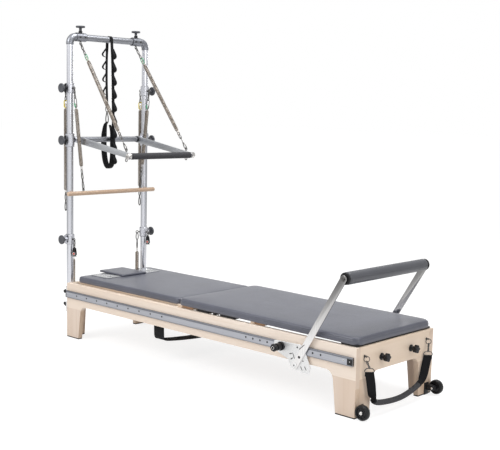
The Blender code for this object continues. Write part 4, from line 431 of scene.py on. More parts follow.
def slab(outlines, low, high, plane, edge=0.0, steps=1):
    """A flat outline, with any holes, extruded along its normal, with rounded edges."""
    curve = bpy.data.curves.new("slab", 'CURVE')
    curve.dimensions = '2D'
    curve.fill_mode = 'BOTH'
    curve.extrude = (high - low) / 2 - edge
    curve.bevel_depth = edge
    curve.bevel_resolution = steps
    curve.offset = -edge
    for outline in outlines:
        spline = curve.splines.new('POLY')
        spline.points.add(len(outline) - 1)
        for point, (x, y) in zip(spline.points, outline):
            point.co = (x, y, 0.0, 1.0)
        spline.use_cyclic_u = True
    holder = bpy.data.objects.new("slab", curve)
    bpy.context.scene.collection.objects.link(holder)
    bpy.context.view_layer.update()
    graph = bpy.context.evaluated_depsgraph_get()
    mesh = bpy.data.meshes.new_from_object(holder.evaluated_get(graph))
    work = bmesh.new()
    work.from_mesh(mesh)
    bmesh.ops.remove_doubles(work, verts=work.verts[:], dist=0.00001)
    work.transform(plane @ Matrix.Translation((0, 0, (low + high) / 2)))
    bpy.data.objects.remove(holder)
    bpy.data.curves.remove(curve)
    bpy.data.meshes.remove(mesh)
    return from_work(work)


def side_slab(outlines, side, inner, outer, edge=0.0, steps=1):
    low, high = sorted((-side * inner, -side * outer))
    return slab(outlines, low, high, ALONG_SIDE, edge, steps)


def smooth_path(points, steps=8):
    """Points on a smooth curve through the given ones."""
    places = [Vector(p) for p in points]
    places = [2 * places[0] - places[1]] + places + [2 * places[-1] - places[-2]]
    path = []
    for a, b, c, d in zip(places, places[1:], places[2:], places[3:]):
        for t in (k / steps for k in range(steps)):
            path.append(0.5 * ((2 * b) + (c - a) * t + (2 * a - 5 * b + 4 * c - d) * t * t
                               + (3 * b - a - 3 * c + d) * t ** 3))
    return path + [places[-2]]


def coil_path(start, end, radius, turns, steps=12):
    """A helix between two points on its axis, drawn in over its last turns."""
    taper = 2.0
    axis = (end - start).normalized()
    across = axis.orthogonal().normalized()
    other = axis.cross(across)
    count = int(turns * steps)
    path = []
    for i in range(count + 1):
        angle = 2 * pi * i / steps
        reach = min(i, count - i) / steps
        here = radius * (1 - 0.45 * max(0.0, 1 - reach / taper) ** 2)
        path.append(start.lerp(end, i / count) + (across * cos(angle) + other * sin(angle)) * here)
    return path


def piece(name, shells, finish, body, slot, replaces=(), sharp=35.0):
    """A piece made of shells, with its finish and the body it rides on; its record slot is not
    used.
    """
    points, faces = joined(*shells)
    mesh = bpy.data.meshes.new(name)
    mesh.from_pydata([Vector(p) + X_AXIS * HEAD_X for p in points], [], faces)
    work = bmesh.new()
    work.from_mesh(mesh)
    bmesh.ops.recalc_face_normals(work, faces=work.faces[:])
    work.to_mesh(mesh)
    work.free()
    mesh.materials.append(finish)
    obj = bpy.data.objects.new(name, mesh)
    bpy.context.scene.collection.objects.link(obj)
    mesh.shade_smooth()
    mesh.set_sharp_from_angle(angle=radians(sharp))
    if replaces:
        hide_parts(*replaces)
    if body:
        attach(obj, body)
    return obj


def pieces(body, label, *rows):
    """Several pieces on one body: name, shells, finish, slot, and the solid it replaces."""
    for name, shells, finish, slot, *old in rows:
        piece(name + label, shells, finish, body, slot, [o + label for o in old])


# Finishes

def node(tree, kind, inputs, output=0, **settings):
    """A new shader node with its inputs set or linked; gives one of its outputs."""
    made = tree.nodes.new("ShaderNode" + kind)
    for key, value in settings.items():
        setattr(made, key, value)
    for key, value in inputs.items():
        if isinstance(value, bpy.types.NodeSocket):
            tree.links.new(value, made.inputs[key])
        else:
            made.inputs[key].default_value = value
    return made.outputs[output]


def new_finish(name, colour, roughness, metallic=0.0, **sockets):
    material = bpy.data.materials.new(name)
    material.use_nodes = True
    inputs = material.node_tree.nodes["Principled BSDF"].inputs
    sockets.update(Base_Color=(*colour, 1.0), Roughness=roughness, Metallic=metallic)
    for socket, value in sockets.items():
        inputs[socket.replace("_", " ")].default_value = value
    return material


def dress(material, **sockets):
    """Links sockets to the inputs of a material's surface shader."""
    inputs = material.node_tree.nodes["Principled BSDF"].inputs
    for socket, value in sockets.items():
        material.node_tree.links.new(value, inputs[socket.replace("_", " ")])
    return material


def part_space(tree, output="Object"):
    return node(tree, "TexCoord", {}, output)


def stretched_noise(tree, stretch, detail=4.0, roughness=0.55, distortion=0.0):
    """Noise over the part's own coordinates, stretched by one scale, or one for each axis."""
    scale = stretch if isinstance(stretch, list) else [stretch] * 3
    spread = node(tree, "Mapping", {"Vector": part_space(tree), "Scale": scale})
    return node(tree, "TexNoise", {"Vector": spread, "Scale": 1.0, "Detail": detail,
                                   "Roughness": roughness, "Distortion": distortion})


def spread_out(tree, value, low, high, new_low=0.0, new_high=1.0, **settings):
    numbers = enumerate((value, low, high, new_low, new_high))
    return node(tree, "MapRange", dict(numbers), **settings)


def two_tone(tree, factor, dark, light, **settings):
    dark, light = (c if isinstance(c, bpy.types.NodeSocket) else (*c, 1.0) for c in (dark, light))
    return node(tree, "Mix", {0: factor, 6: dark, 7: light}, 2, data_type='RGBA', **settings)


def maths(tree, operation, a, b=0.0, c=0.0):
    return node(tree, "Math", {0: a, 1: b, 2: c}, operation=operation)


def relief(tree, height, distance, before=None):
    below = {"Normal": before} if before else {}
    return node(tree, "Bump", {"Height": height, "Distance": distance, "Strength": 1.0, **below})


def plain_surface(name, dark, light, roughness, stretch, distance, metallic=0.0, vary=0.08,
                  **sockets):
    """A finish that wanders between two tones, with roughness and relief from the same grain."""
    material = new_finish(name, light, roughness, metallic, **sockets)
    tree = material.node_tree
    grain = stretched_noise(tree, stretch)
    return dress(material,
                 Base_Color=two_tone(tree, spread_out(tree, grain, 0.35, 0.65), dark, light),
                 Roughness=spread_out(tree, grain, 0.35, 0.65, roughness + vary, roughness - vary),
                 Normal=relief(tree, grain, distance))


MAPLE_LIGHT = (0.84, 0.725, 0.625)
MAPLE_MID = (0.79, 0.655, 0.54)
MAPLE_DARK = (0.68, 0.52, 0.39)
# Painted shade: the tone that darkens the legs below the glue line
LEG_PAINTED_SHADE = (0.87, 0.83, 0.80)
END_GRAIN = (0.60, 0.43, 0.29)
# Scale across and along the grain, detail, roughness and twist of the noise
WOOD_GRAIN = ((9.0, 0.55, 2.0, 0.5, 0.25), (60.0, 1.6, 5.0, 0.6, 0.15), (420.0, 9.0, 2.0, 0.5, 0.0))


def wood(name, along, light=MAPLE_LIGHT, mid=MAPLE_MID, dark=MAPLE_DARK, legs_below=None,
         end_faces=True):
    """Oiled timber with its grain along one axis, or upright in the legs below a glue line, which
    also get a painted shade.
    """
    material = new_finish(name, light, 0.42, Coat_Weight=0.12, Coat_Roughness=0.35)
    tree = material.node_tree

    def grain(axis):
        for scale, long_scale, *character in WOOD_GRAIN:
            stretch = [scale] * 3
            stretch[axis] = long_scale
            yield stretched_noise(tree, stretch, *character)

    broad, fine, pores = grain(along)
    line = None
    if legs_below is not None:
        height = node(tree, "SeparateXYZ", {0: part_space(tree)}, 2)
        above = maths(tree, 'GREATER_THAN', height, legs_below)
        broad, fine, pores = (node(tree, "Mix", {0: above, 2: low, 3: high})
                              for low, high in zip(grain(2), (broad, fine, pores)))
        away = maths(tree, 'ABSOLUTE', maths(tree, 'SUBTRACT', height, legs_below))
        line = spread_out(tree, away, 0.0002, 0.0009, 1.0, 0.0)
    tone = two_tone(tree, spread_out(tree, broad, 0.36, 0.62), mid, light)
    tone = two_tone(tree, spread_out(tree, fine, 0.55, 0.78, 0.0, 0.42), tone, dark)
    tone = two_tone(tree, spread_out(tree, pores, 0.66, 0.80, 0.0, 0.30), tone, dark)
    height = maths(tree, 'MULTIPLY_ADD', pores, 0.6, fine)
    if line is not None:
        # Painted shade: the legs below the glue line are darkened
        shade = two_tone(tree, above, LEG_PAINTED_SHADE, (1.0, 1.0, 1.0))
        tone = two_tone(tree, 1.0, tone, shade, blend_type='MULTIPLY')
        tone = two_tone(tree, maths(tree, 'MULTIPLY', line, 0.45), tone, END_GRAIN)
        height = maths(tree, 'SUBTRACT', height, line)
    if end_faces:
        facing = node(tree, "SeparateXYZ", {0: part_space(tree, "Normal")}, along)
        cut = spread_out(tree, maths(tree, 'ABSOLUTE', facing), 0.7, 0.95)
        rings = spread_out(tree, stretched_noise(tree, [260.0, 260.0, 90.0], 3.0), 0.35, 0.7)
        end_tone = two_tone(tree, rings, END_GRAIN, MAPLE_DARK)
        tone = two_tone(tree, maths(tree, 'MULTIPLY', cut, 0.75), tone, end_tone)
    return dress(material, Base_Color=tone, Normal=relief(tree, height, 0.00012),
                 Roughness=spread_out(tree, fine, 0.3, 0.75, 0.50, 0.36))


def vinyl(name, dark, light, roughness):
    """Upholstery vinyl: a fine leather grain over a faint unevenness of its foam."""
    material = new_finish(name, light, roughness, Specular_IOR_Level=0.55, Coat_Weight=0.20,
                          Coat_Roughness=0.22, Sheen_Weight=0.05, Sheen_Roughness=0.4)
    tree = material.node_tree
    cloud = stretched_noise(tree, 7.0, 3.0)
    cells = node(tree, "TexVoronoi", {"Vector": part_space(tree), "Scale": 620.0}, "Distance",
                 feature='SMOOTH_F1')
    grain = relief(tree, cells, 0.00010)
    grain = relief(tree, stretched_noise(tree, 900.0, 3.0), 0.00004, grain)
    cloud = spread_out(tree, cloud, 0.3, 0.7)
    return dress(material, Base_Color=two_tone(tree, cloud, dark, light),
                 Roughness=spread_out(tree, cells, 0.0, 0.6, roughness - 0.05, roughness + 0.07),
                 Normal=relief(tree, stretched_noise(tree, 22.0, 2.0), 0.0006, grain))


def webbing(name, dark, light, along):
    """Woven strap: ribs across the strap and yarns along it."""
    material = new_finish(name, light, 0.85, Sheen_Weight=0.04, Sheen_Roughness=0.6,
                          Specular_IOR_Level=0.15)
    tree = material.node_tree
    ribs, yarns = (node(tree, "TexWave", {"Vector": part_space(tree), "Scale": 0.314 / pitch,
                                          "Distortion": 0.3, "Detail": 1.0}, "Fac",
                        bands_direction=axis)
                   for axis, pitch in ((along, 0.0022), ('Y' if along != 'Y' else 'X', 0.0028)))
    weave = maths(tree, 'MAXIMUM', ribs, yarns)
    fuzz = stretched_noise(tree, 260.0, 3.0)
    mixed = maths(tree, 'MULTIPLY', weave, spread_out(tree, fuzz, 0.3, 0.7, 0.6, 1.0))
    return dress(material, Base_Color=two_tone(tree, mixed, dark, light),
                 Roughness=spread_out(tree, fuzz, 0.3, 0.7, 0.76, 0.90),
                 Normal=relief(tree, weave, 0.0003))


def painted_reflection_gradient(material, low, high, low_tone, high_tone):
    """Paints a reflection into a finish: its colour is scaled from one tone at a piece's foot to
    another at its top.
    """
    tree = material.node_tree
    height = node(tree, "SeparateXYZ", {0: part_space(tree, "Generated")}, 2)
    tone = spread_out(tree, height, low, high, low_tone, high_tone)
    colour = tree.nodes["Principled BSDF"].inputs["Base Color"].links[0].from_socket
    return dress(material, Base_Color=node(tree, "VectorMath", {0: colour, "Scale": tone},
                                           operation='SCALE'))


BRUSH = 700.0
BRUSH_RELIEF = 0.000006


def brushed(name, dark, light, roughness, along):
    """Metal with brush marks along one axis."""
    stretch = [BRUSH] * 3
    stretch[along] = BRUSH / 120
    return plain_surface(name, dark, light, roughness, stretch, BRUSH_RELIEF, 1.0, 0.04)


maple_side = wood("maple_side", 0, legs_below=GLUE_LINE_Z)
maple_end = wood("maple_end", 1, (0.80, 0.66, 0.53), (0.74, 0.58, 0.44),
                 legs_below=GLUE_LINE_Z, end_faces=False)
maple_plain = wood("maple_plain", 1)
plywood = wood("plywood", 0, (0.40, 0.23, 0.13), (0.32, 0.18, 0.10), (0.20, 0.11, 0.06))
plank_grain = wood("plank_grain", 1, (0.72, 0.58, 0.47), (0.64, 0.50, 0.39), (0.54, 0.40, 0.30),
                   end_faces=False)
birch_ply = wood("birch_ply", 0, (0.74, 0.61, 0.49), (0.64, 0.50, 0.38), (0.48, 0.34, 0.24),
                 end_faces=False)
dowel_wood = wood("dowel_wood", 1, (0.56, 0.41, 0.30), (0.49, 0.34, 0.235), (0.38, 0.25, 0.16))
grey_vinyl = vinyl("grey_vinyl", (0.076, 0.080, 0.106), (0.094, 0.099, 0.130), 0.31)
bar_vinyl = vinyl("bar_vinyl", (0.060, 0.063, 0.074), (0.074, 0.077, 0.090), 0.42)
web_upright = webbing("web_upright", (0.003, 0.003, 0.0035), (0.011, 0.011, 0.013), 'Z')
web_across = webbing("web_across", (0.003, 0.003, 0.0035), (0.012, 0.012, 0.014), 'Y')

# Brushed metals: dark tone, light tone, roughness and the axis of the marks
tube_metal, bar_metal, track_metal, track_dark, arm_metal, push_tube_metal, push_metal = (
    brushed(*row) for row in (
        ("tube_metal", (0.70, 0.71, 0.76), (0.78, 0.79, 0.84), 0.22, 2),
        ("bar_metal", (0.30, 0.31, 0.34), (0.40, 0.41, 0.44), 0.36, 1),
        ("track_metal", (0.40, 0.41, 0.45), (0.52, 0.53, 0.57), 0.34, 0),
        ("track_dark", (0.20, 0.21, 0.24), (0.30, 0.31, 0.34), 0.40, 0),
        ("arm_metal", (0.58, 0.57, 0.57), (0.72, 0.71, 0.70), 0.12, 2),
        ("push_tube_metal", (0.27, 0.28, 0.31), (0.36, 0.37, 0.40), 0.36, 1),
        ("push_metal", (0.54, 0.555, 0.58), (0.68, 0.695, 0.715), 0.38, 0)))
# Painted reflection: the footbar arms are darkened towards their tops and lightened towards their
# feet
painted_reflection_gradient(arm_metal, 0.30, 0.92, 1.25, 0.48)

# Other metals: dark tone, light tone, roughness, scale and depth of the grain, metallic, variation
(collar_metal, elbow_metal, plate_metal, bright_steel, link_steel, spring_wire, dark_steel,
 foil) = (plain_surface(*row) for row in (
     ("collar_metal", (0.60, 0.61, 0.66), (0.78, 0.79, 0.84), 0.30, 90.0, 0.00002, 1.0),
     ("elbow_metal", (0.25, 0.26, 0.29), (0.33, 0.34, 0.37), 0.38, 300.0, 0.00001, 0.9),
     ("plate_metal", (0.74, 0.74, 0.74), (0.88, 0.88, 0.88), 0.58, 260.0, 0.00004, 1.0, 0.04),
     ("bright_steel", (0.62, 0.60, 0.58), (0.82, 0.80, 0.78), 0.16, 120.0, 0.00001, 1.0, 0.05),
     ("link_steel", (0.07, 0.068, 0.067), (0.19, 0.183, 0.176), 0.28, 150.0, 0.00001, 1.0, 0.06),
     ("spring_wire", (0.30, 0.26, 0.225), (0.44, 0.39, 0.34), 0.42, 120.0, 0.00001, 1.0, 0.04),
     ("dark_steel", (0.10, 0.10, 0.11), (0.22, 0.22, 0.23), 0.35, 150.0, 0.00002, 0.9),
     ("foil", (0.62, 0.63, 0.65), (0.78, 0.79, 0.80), 0.22, 70.0, 0.00002, 1.0)))

# Plastics and rubbers: the same columns
black_plastic, gloss_plastic, rubber, castor_rubber = (
    plain_surface(*row, Specular_IOR_Level=0.25) for row in (
        ("black_plastic", (0.010, 0.010, 0.011), (0.022, 0.022, 0.024), 0.38, 800.0, 0.00005, 0.0,
         0.06),
        ("gloss_plastic", (0.008, 0.008, 0.009), (0.018, 0.018, 0.020), 0.20, 300.0, 0.00002, 0.0,
         0.05),
        ("rubber", (0.010, 0.010, 0.010), (0.022, 0.022, 0.022), 0.70, 500.0, 0.00008),
        ("castor_rubber", (0.009, 0.009, 0.010), (0.020, 0.020, 0.021), 0.34, 400.0, 0.00004, 0.0,
         0.06)))
knob_plastic, foam_black, yellow_plastic, green_plastic, red_plastic = (
    plain_surface(*row) for row in (
        ("knob_plastic", (0.055, 0.058, 0.068), (0.085, 0.088, 0.100), 0.42, 700.0, 0.00005, 0.0,
         0.06),
        ("foam_black", (0.028, 0.028, 0.032), (0.050, 0.050, 0.056), 0.78, 650.0, 0.00025),
        ("yellow_plastic", (0.70, 0.52, 0.02), (0.86, 0.68, 0.04), 0.35, 200.0, 0.00004),
        ("green_plastic", (0.02, 0.26, 0.11), (0.04, 0.38, 0.17), 0.35, 200.0, 0.00004),
        ("red_plastic", (0.45, 0.03, 0.02), (0.62, 0.06, 0.04), 0.40, 200.0, 0.00004)))


# Camera, light and floor

CAMERA_TURNS = (-0.7521, -0.1178, 0.0216)
CAMERA_PLACE = Vector((5.0834 + HEAD_X, -4.0415, 1.4899))
CAMERA_LENS = 69.314
AMBIENT = 0.60
WINDOW_WAY = (-0.367, 0.923, 0.115)
FLOOR_REACH = 60.0
# Each lamp: place, target, size and power
LAMPS = {"key": ((-1.6, -4.4, 4.2), (0.0, 0.0, 0.5), 3.0, 125.0),
         "top": ((0.6, 0.6, 4.6), (0.2, 0.0, 0.4), 3.0, 115.0),
         "fill": ((4.6, -1.2, 2.6), (0.6, 0.0, 0.4), 2.4, 38.0)}


def look_at_photo():
    """The camera of the photograph: its place, its turns and its lens."""
    yaw, pitch, roll = CAMERA_TURNS
    forward = Vector((cos(pitch) * sin(yaw), cos(pitch) * cos(yaw), sin(pitch)))
    right = Vector((cos(yaw), -sin(yaw), 0))
    up = right.cross(forward)
    across = right * cos(roll) + up * sin(roll)
    upward = up * cos(roll) - right * sin(roll)
    data = bpy.data.cameras.new("camera")
    data.sensor_fit = 'HORIZONTAL'
    data.sensor_width = 36.0
    data.lens = CAMERA_LENS
    camera = bpy.data.objects.new("camera", data)
    turn = Matrix((across, upward, -forward)).transposed().to_4x4()
    camera.matrix_world = Matrix.Translation(CAMERA_PLACE) @ turn
    bpy.context.scene.collection.objects.link(camera)
    bpy.context.scene.camera = camera


def lamp(name, place, target, size, watts):
    data = bpy.data.lights.new(name, 'AREA')
    data.shape = 'DISK'
    data.size = size
    data.energy = watts
    obj = bpy.data.objects.new(name, data)
    obj.matrix_world = aim(place, Vector(place) - Vector(target))
    bpy.context.scene.collection.objects.link(obj)


def power(tree, value, exponent):
    return maths(tree, 'POWER', maths(tree, 'MAXIMUM', value, 0.0), exponent)


def studio_tone(tree, place):
    """How light the studio is in each direction round the part: one wide window, two walls."""
    x, y, _ = node(tree, "SeparateXYZ", {0: place}).node.outputs
    turn = maths(tree, 'ARCTAN2', y, x)
    tone = 0.30
    for middle, width, light in ((300, 1.0, 0.66), (165, 6.0, 0.45)):
        lobe = maths(tree, 'COSINE', maths(tree, 'SUBTRACT', turn, radians(middle)))
        lobe = maths(tree, 'MULTIPLY', power(tree, lobe, width), light)
        tone = maths(tree, 'ADD', lobe, tone)
    return tone


def eased(tree, value, *limits):
    return spread_out(tree, value, *limits, interpolation_type='SMOOTHSTEP')


def towards_white(tree, tone, share):
    rest = maths(tree, 'SUBTRACT', 1.0, share)
    return maths(tree, 'ADD', share, maths(tree, 'MULTIPLY', tone, rest))


def mix_by(tree, factor, first, second):
    return node(tree, "MixShader", {0: factor, 1: first, 2: second})


def cleared(holder):
    holder.use_nodes = True
    holder.node_tree.nodes.clear()
    return holder.node_tree


def build_world():
    world = bpy.data.worlds.new("studio")
    bpy.context.scene.world = world
    tree = cleared(world)
    place = part_space(tree, "Generated")
    tone = studio_tone(tree, place)
    height = node(tree, "SeparateXYZ", {0: place}, 2)
    tone = towards_white(tree, tone, eased(tree, height, 0.0, 0.09, 0.0, 1.0))
    for limits in ((0.15, 0.27, 1.0, 0.55), (0.62, 0.85, 1.0, 2.0)):
        tone = maths(tree, 'MULTIPLY', tone, eased(tree, height, *limits))
    window = node(tree, "VectorMath", {0: place, 1: WINDOW_WAY}, "Value", operation='DOT_PRODUCT')
    glare = maths(tree, 'MULTIPLY', power(tree, window, 400.0), 20.0)
    even, white, mirrored = (
        node(tree, "Background", {"Color": (1.0, 1.0, 1.0, 1.0), "Strength": strength})
        for strength in (AMBIENT, 1.0, maths(tree, 'ADD', glare, tone)))
    ray = node(tree, "LightPath", {}).node.outputs
    seen = maths(tree, 'MAXIMUM', ray["Is Camera Ray"], ray["Is Transmission Ray"])
    unseen = mix_by(tree, ray["Is Glossy Ray"], even, mirrored)
    output = tree.nodes.new("ShaderNodeOutputWorld")
    tree.links.new(mix_by(tree, seen, unseen, white), output.inputs["Surface"])


def build_floor():
    r = FLOOR_REACH
    mesh = bpy.data.meshes.new("floor")
    mesh.from_pydata([(-r, -r, 0), (r, -r, 0), (r, r, 0), (-r, r, 0)], [], [(0, 1, 2, 3)])
    floor = bpy.data.objects.new("floor", mesh)
    floor.location.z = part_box("head_foot_pad_near")[0].z
    bpy.context.scene.collection.objects.link(floor)
    paint = bpy.data.materials.new("floor_paint")
    tree = cleared(paint)

    def lit_and_plain(plain_share, glow):
        plain = node(tree, "BsdfDiffuse", {"Color": (plain_share,) * 3 + (1.0,)})
        return node(tree, "AddShader", {0: plain, 1: node(tree, "Emission", {"Strength": glow})})

    place = part_space(tree)
    far = node(tree, "VectorMath", {0: place}, "Value", operation='LENGTH')
    tone = towards_white(tree, studio_tone(tree, place), eased(tree, far, 2.2, 6.0, 1.0, 0.0))
    ray = node(tree, "LightPath", {}).node.outputs
    mirrored = maths(tree, 'MAXIMUM', ray["Is Glossy Ray"], ray["Is Transmission Ray"])
    direct = mix_by(tree, ray["Is Camera Ray"], lit_and_plain(0.80, 0.0), lit_and_plain(0.34, 0.80))
    gloss = lit_and_plain(0.20, maths(tree, 'MULTIPLY', tone, 0.80))
    output = tree.nodes.new("ShaderNodeOutputMaterial")
    tree.links.new(mix_by(tree, mirrored, direct, gloss), output.inputs["Surface"])
    mesh.materials.append(paint)


look_at_photo()
bpy.context.scene.view_settings.view_transform = 'Standard'
build_world()
build_floor()
for lamp_name, lamp_set in LAMPS.items():
    lamp(lamp_name, *lamp_set)


# Wooden frame

def legged_outline(outer, foot, top, mirror, low_round, high_round):
    """A board with a leg at each end, the second one mirrored."""
    leg = [(outer, PAD_HEIGHT, low_round), (foot, PAD_HEIGHT, 0.003), (top, RAIL_LOW, RAIL_FILLET)]
    other = [(mirror - x, z, r) for x, z, r in reversed(leg)]
    return rounded(leg + other + [(mirror - outer, FRAME_TOP, high_round),
                                  (outer, FRAME_TOP, high_round)], 14)


def make_frame():
    outline = legged_outline(0.0, LEG_FOOT, LEG_TOP, FRAME_LENGTH, 0.002, 0.004)
    eyes, plugs = [], []
    for label, side in SIDES:
        plank = side_slab([outline], side, INNER_Y, HALF_WIDTH, 0.0022, 2)
        grain = side_block(side, (FRAME_LENGTH - 0.0006, INNER_Y + 0.0004, 0.1500),
                           (FRAME_LENGTH + 0.0004, HALF_WIDTH - 0.0004, FRAME_TOP - 0.0004), 0.0)
        pieces("frame", label, ("side_plank_", [plank], maple_side, "maple", "side_panel_"),
               ("plank_end_", [grain], plank_grain, "maple"))
        eye = Vector((FRAME_LENGTH, side * FOOT_EYE.y, FOOT_EYE.z))
        eyes += [rod(eye + X_AXIS * 0.0003, eye + X_AXIS * 0.0030, 0.0075, 24, 0.0008),
                 rod(eye + X_AXIS * 0.0010, eye + X_AXIS * 0.0095, 0.0034, 16),
                 ring(eye + X_AXIS * 0.0130, Y_AXIS, 0.0040, 0.0017, 20, 10),
                 ring(eye + Vector((0.0150, 0, -0.0125)), (0.72, -0.69, 0.0), 0.0140, 0.0020)]
        plugs += [side_rod(side, x, 0.034, INNER_Y - 0.003, INNER_Y + 0.001, 0.008, 24, 0.001)
                  for x in (0.045, FRAME_LENGTH - 0.045)]
    outline = legged_outline(0.0003 - INNER_Y, LEG_FOOT - HALF_WIDTH, END_LEG_TOP - HALF_WIDTH,
                             0.0, 0.0, 0.0)
    ends = [slab([outline], low, low + END_BOARD, ACROSS_END, 0.0016, 2)
            for low in (0.0, FRAME_LENGTH - END_BOARD)]
    pieces("frame", "", ("head_plank", ends[:1], maple_end, "maple", "head_board"),
           ("foot_plank", ends[1:], maple_end, "maple", "foot_board"),
           ("foot_eyebolts", eyes, link_steel, "steel"), ("leg_bolts", plugs, dark_steel, "steel"))


def make_foot_pads(label, side):
    inset = 0.0008
    y0, step, y1 = HALF_WIDTH - LEG_FOOT + inset, INNER_Y + inset, HALF_WIDTH - inset
    x0, x1, x2 = inset, END_BOARD - inset, LEG_FOOT - inset
    outline = [(x0, y0), (x1, y0), (x1, step), (x2, step), (x2, y1), (x0, y1)]
    for name, shift, way, old in (("head_rubber_", 0.0, 1, ["head_foot_pad_" + label]),
                                  ("foot_rubber_", FRAME_LENGTH, -1, [])):
        pad = slab([[(shift + way * x, side * y) for x, y in outline]], 0.0, PAD_HEIGHT - 0.0002,
                   FLAT, 0.0012, 2)
        piece(name + label, [pad], rubber, "frame", "rubber", old)


def make_track(label, side):
    """Extruded track: grooved rails above and below a face with two rows of holes; black discs in
    the holes and a black core behind the face are painted shade, and a dark strip along its foot is
    a painted shadow line.
    """
    inner, outer, low, high = TRACK_INNER_Y, TRACK_OUTER_Y, TRACK_LOW, TRACK_HIGH
    start, end = 0.0075, 2.3335
    back = inner + 0.0035

    def rail(z0, z1, grooved=False):
        lip, groove = 0.0012, 0.0016
        outline = [(inner, z0), (outer - lip, z0), (outer, z0 + lip * 0.6),
                   (outer, z1 - lip * 0.6), (outer - lip, z1), (inner, z1)]
        if grooved:
            outline = [(inner, z0), (outer, z0), (outer, z0 + 0.0014),
                       (outer - groove, z0 + groove), (outer - groove, z0 + 0.0028),
                       (outer, z0 + 0.0030), (outer, z1 - groove), (outer - groove, z1),
                       (inner, z1)]
        return slab([[(side * y, z) for y, z in outline]], start, end, ACROSS_END)

    face_outline = [(start, low + 0.0052), (end, low + 0.0052), (end, high - 0.0096),
                    (start, high - 0.0096)]
    places = [0.120 + i * 0.1026 for i in range(9)] + [1.618 + i * 0.0516 for i in range(11)]
    holes = [circle(x, TRACK_MID_Z, 0.0045, 18) for x in places]
    face = side_slab([face_outline] + holes, side, back + 0.0015, outer - 0.0010)
    # The first block is a black core behind the face: painted shade seen through its holes
    ends = [side_block(side, (start, inner, low + 0.001), (end, back + 0.0012, high - 0.001), 0.0),
            side_block(side, (0.0020, inner, low), (0.0072, outer + 0.0006, high), 0.0012),
            side_block(side, (2.2985, inner, low + 0.0035), (2.3335, outer - 0.0001, high - 0.0050),
                       0.0025, 3)]
    screws = [button((x, side * (outer - 0.0014), TRACK_MID_Z), (0, side, 0), 20,
                     1.6, 1.4, 2.6, 4.6) for x in (2.316, 2.277)]
    # Painted shade: black discs fill the face's holes
    hole_shade_and_ticks = [side_rod(side, x, TRACK_MID_Z, outer - 0.0022, outer - 0.0008, 0.0055, 18)
             for x in places]
    hole_shade_and_ticks += [side_block(side, (x, outer - 0.0004, high - 0.0056),
                         (x + 0.0018, outer + 0.0001, high - 0.0022), 0.0)
              for x in (0.110 + i * 0.0955 for i in range(23))]
    pieces("frame", label,
           ("track_face_", [face, rail(low + 0.0016, low + 0.0050)], track_metal,
            "polished_aluminium", "footbar_track_"),
           # The second rail, in the dark finish along the track's foot, is a painted shadow line
           ("track_top_and_shadow_line_", [rail(high - 0.0090, high, True), rail(low - 0.0002, low + 0.0016)],
            track_dark, "polished_aluminium"),
           ("track_ends_and_shade_core_", ends, black_plastic, "black_plastic"),
           ("track_screws_", screws, bright_steel, "steel"),
           ("track_hole_shade_and_ticks_", hole_shade_and_ticks, black_plastic, "polished_aluminium"))


def make_runner(label, side):
    high, under, low = 0.300, 0.294, 0.262
    inner, web, outer = 0.270, 0.3037, 0.3077
    section = [(inner, under), (web, under), (web, low), (outer, low), (outer, high), (inner, high)]
    rail = slab([[(side * y, z) for y, z in section]], 0.0303, FRAME_LENGTH - 0.0303, ACROSS_END,
                0.0005, 1)
    screws = [button((0.11 + i * 0.19, side * web, 0.274), (0, -side, 0), 16, 1.4, 1.2, 3.0, 4.8)
              for i in range(12)]
    piece("runner_" + label, [rail] + screws, track_metal, "frame", "aluminium_tube",
          ["carriage_runner_" + label])


make_frame()
for tag, sign in SIDES:
    make_foot_pads(tag, sign)
    make_track(tag, sign)
    make_runner(tag, sign)


# Tower

BORE = POST_RADIUS + 0.0002
# Thickness of the dark rings that paint the shadow in the gaps at the ends of collars and elbows
SHADE_RING_THICK = 0.0012


def eyebolt(centre, direction, reach, start):
    """An eyebolt: ring, shank and the washer it is screwed down on."""
    centre, direction = Vector(centre), Vector(direction).normalized()
    normal = Y_AXIS if abs(direction.z) > 0.5 else direction.cross(Z_AXIS)
    return joined(
        ring(centre + direction * reach, normal, EYE_RADIUS, EYE_WIRE),
        rod(centre + direction * start,
            centre + direction * (reach - EYE_RADIUS + EYE_WIRE * 0.5), EYE_WIRE * 1.15, 14),
        rod(centre + direction * start, centre + direction * (start + 0.003), EYE_WIRE * 2.3, 18,
            0.0006))


def make_knob(names, centre, direction, sleeve, body, flange_look, flange_slot):
    """Clamp knob: dished disc, neck, screw and the flange it bears on."""
    disc = lathe(mm((0, 70.5), (19, 70.5), (21.5, 71.2), (26.2, 72), (28.4, 71.2), (29.5, 69.5),
                    (29.5, 63.2), (28.4, 61.2), (26, 60.2), (13.5, 59.5), (9.8, 58), (9, 54))
                 + [(0.009, sleeve + 0.012), (0.0, sleeve + 0.012)], centre, direction, 48)
    neck = lathe([(0.0, sleeve + 0.0125), (0.0110, sleeve + 0.0125), (0.0122, sleeve + 0.0113),
                  (0.0122, sleeve - 0.010), (0.0, sleeve - 0.010)], centre, direction, 40)
    ear = slab([rounded([(-0.0300, -0.0305, 0.026), (0.001, -0.0305, 0.003),
                         (0.001, 0.0305, 0.003), (-0.0300, 0.0305, 0.026)], 10)],
               -0.0020, 0.0020, FLAT, 0.0007, 1)
    direction = Vector(direction)
    turn = Matrix((X_AXIS, direction.cross(X_AXIS), direction)).transposed().to_4x4()
    place = Matrix.Translation(Vector(centre) + direction * (sleeve - 0.0005))
    pieces(body, "", (names[0], [disc], knob_plastic, "black_plastic"),
           (names[1], [neck, moved(ear, place @ turn)], flange_look, flange_slot))


def sleeve_shell(centre, height, radius, axis):
    rim = 0.0016
    return lathe([(BORE, 0.0), (radius - rim, 0.0), (radius, rim), (radius, height - rim),
                  (radius - rim, height), (BORE, height)], centre - axis * height / 2, axis, 56,
                 closed=True)


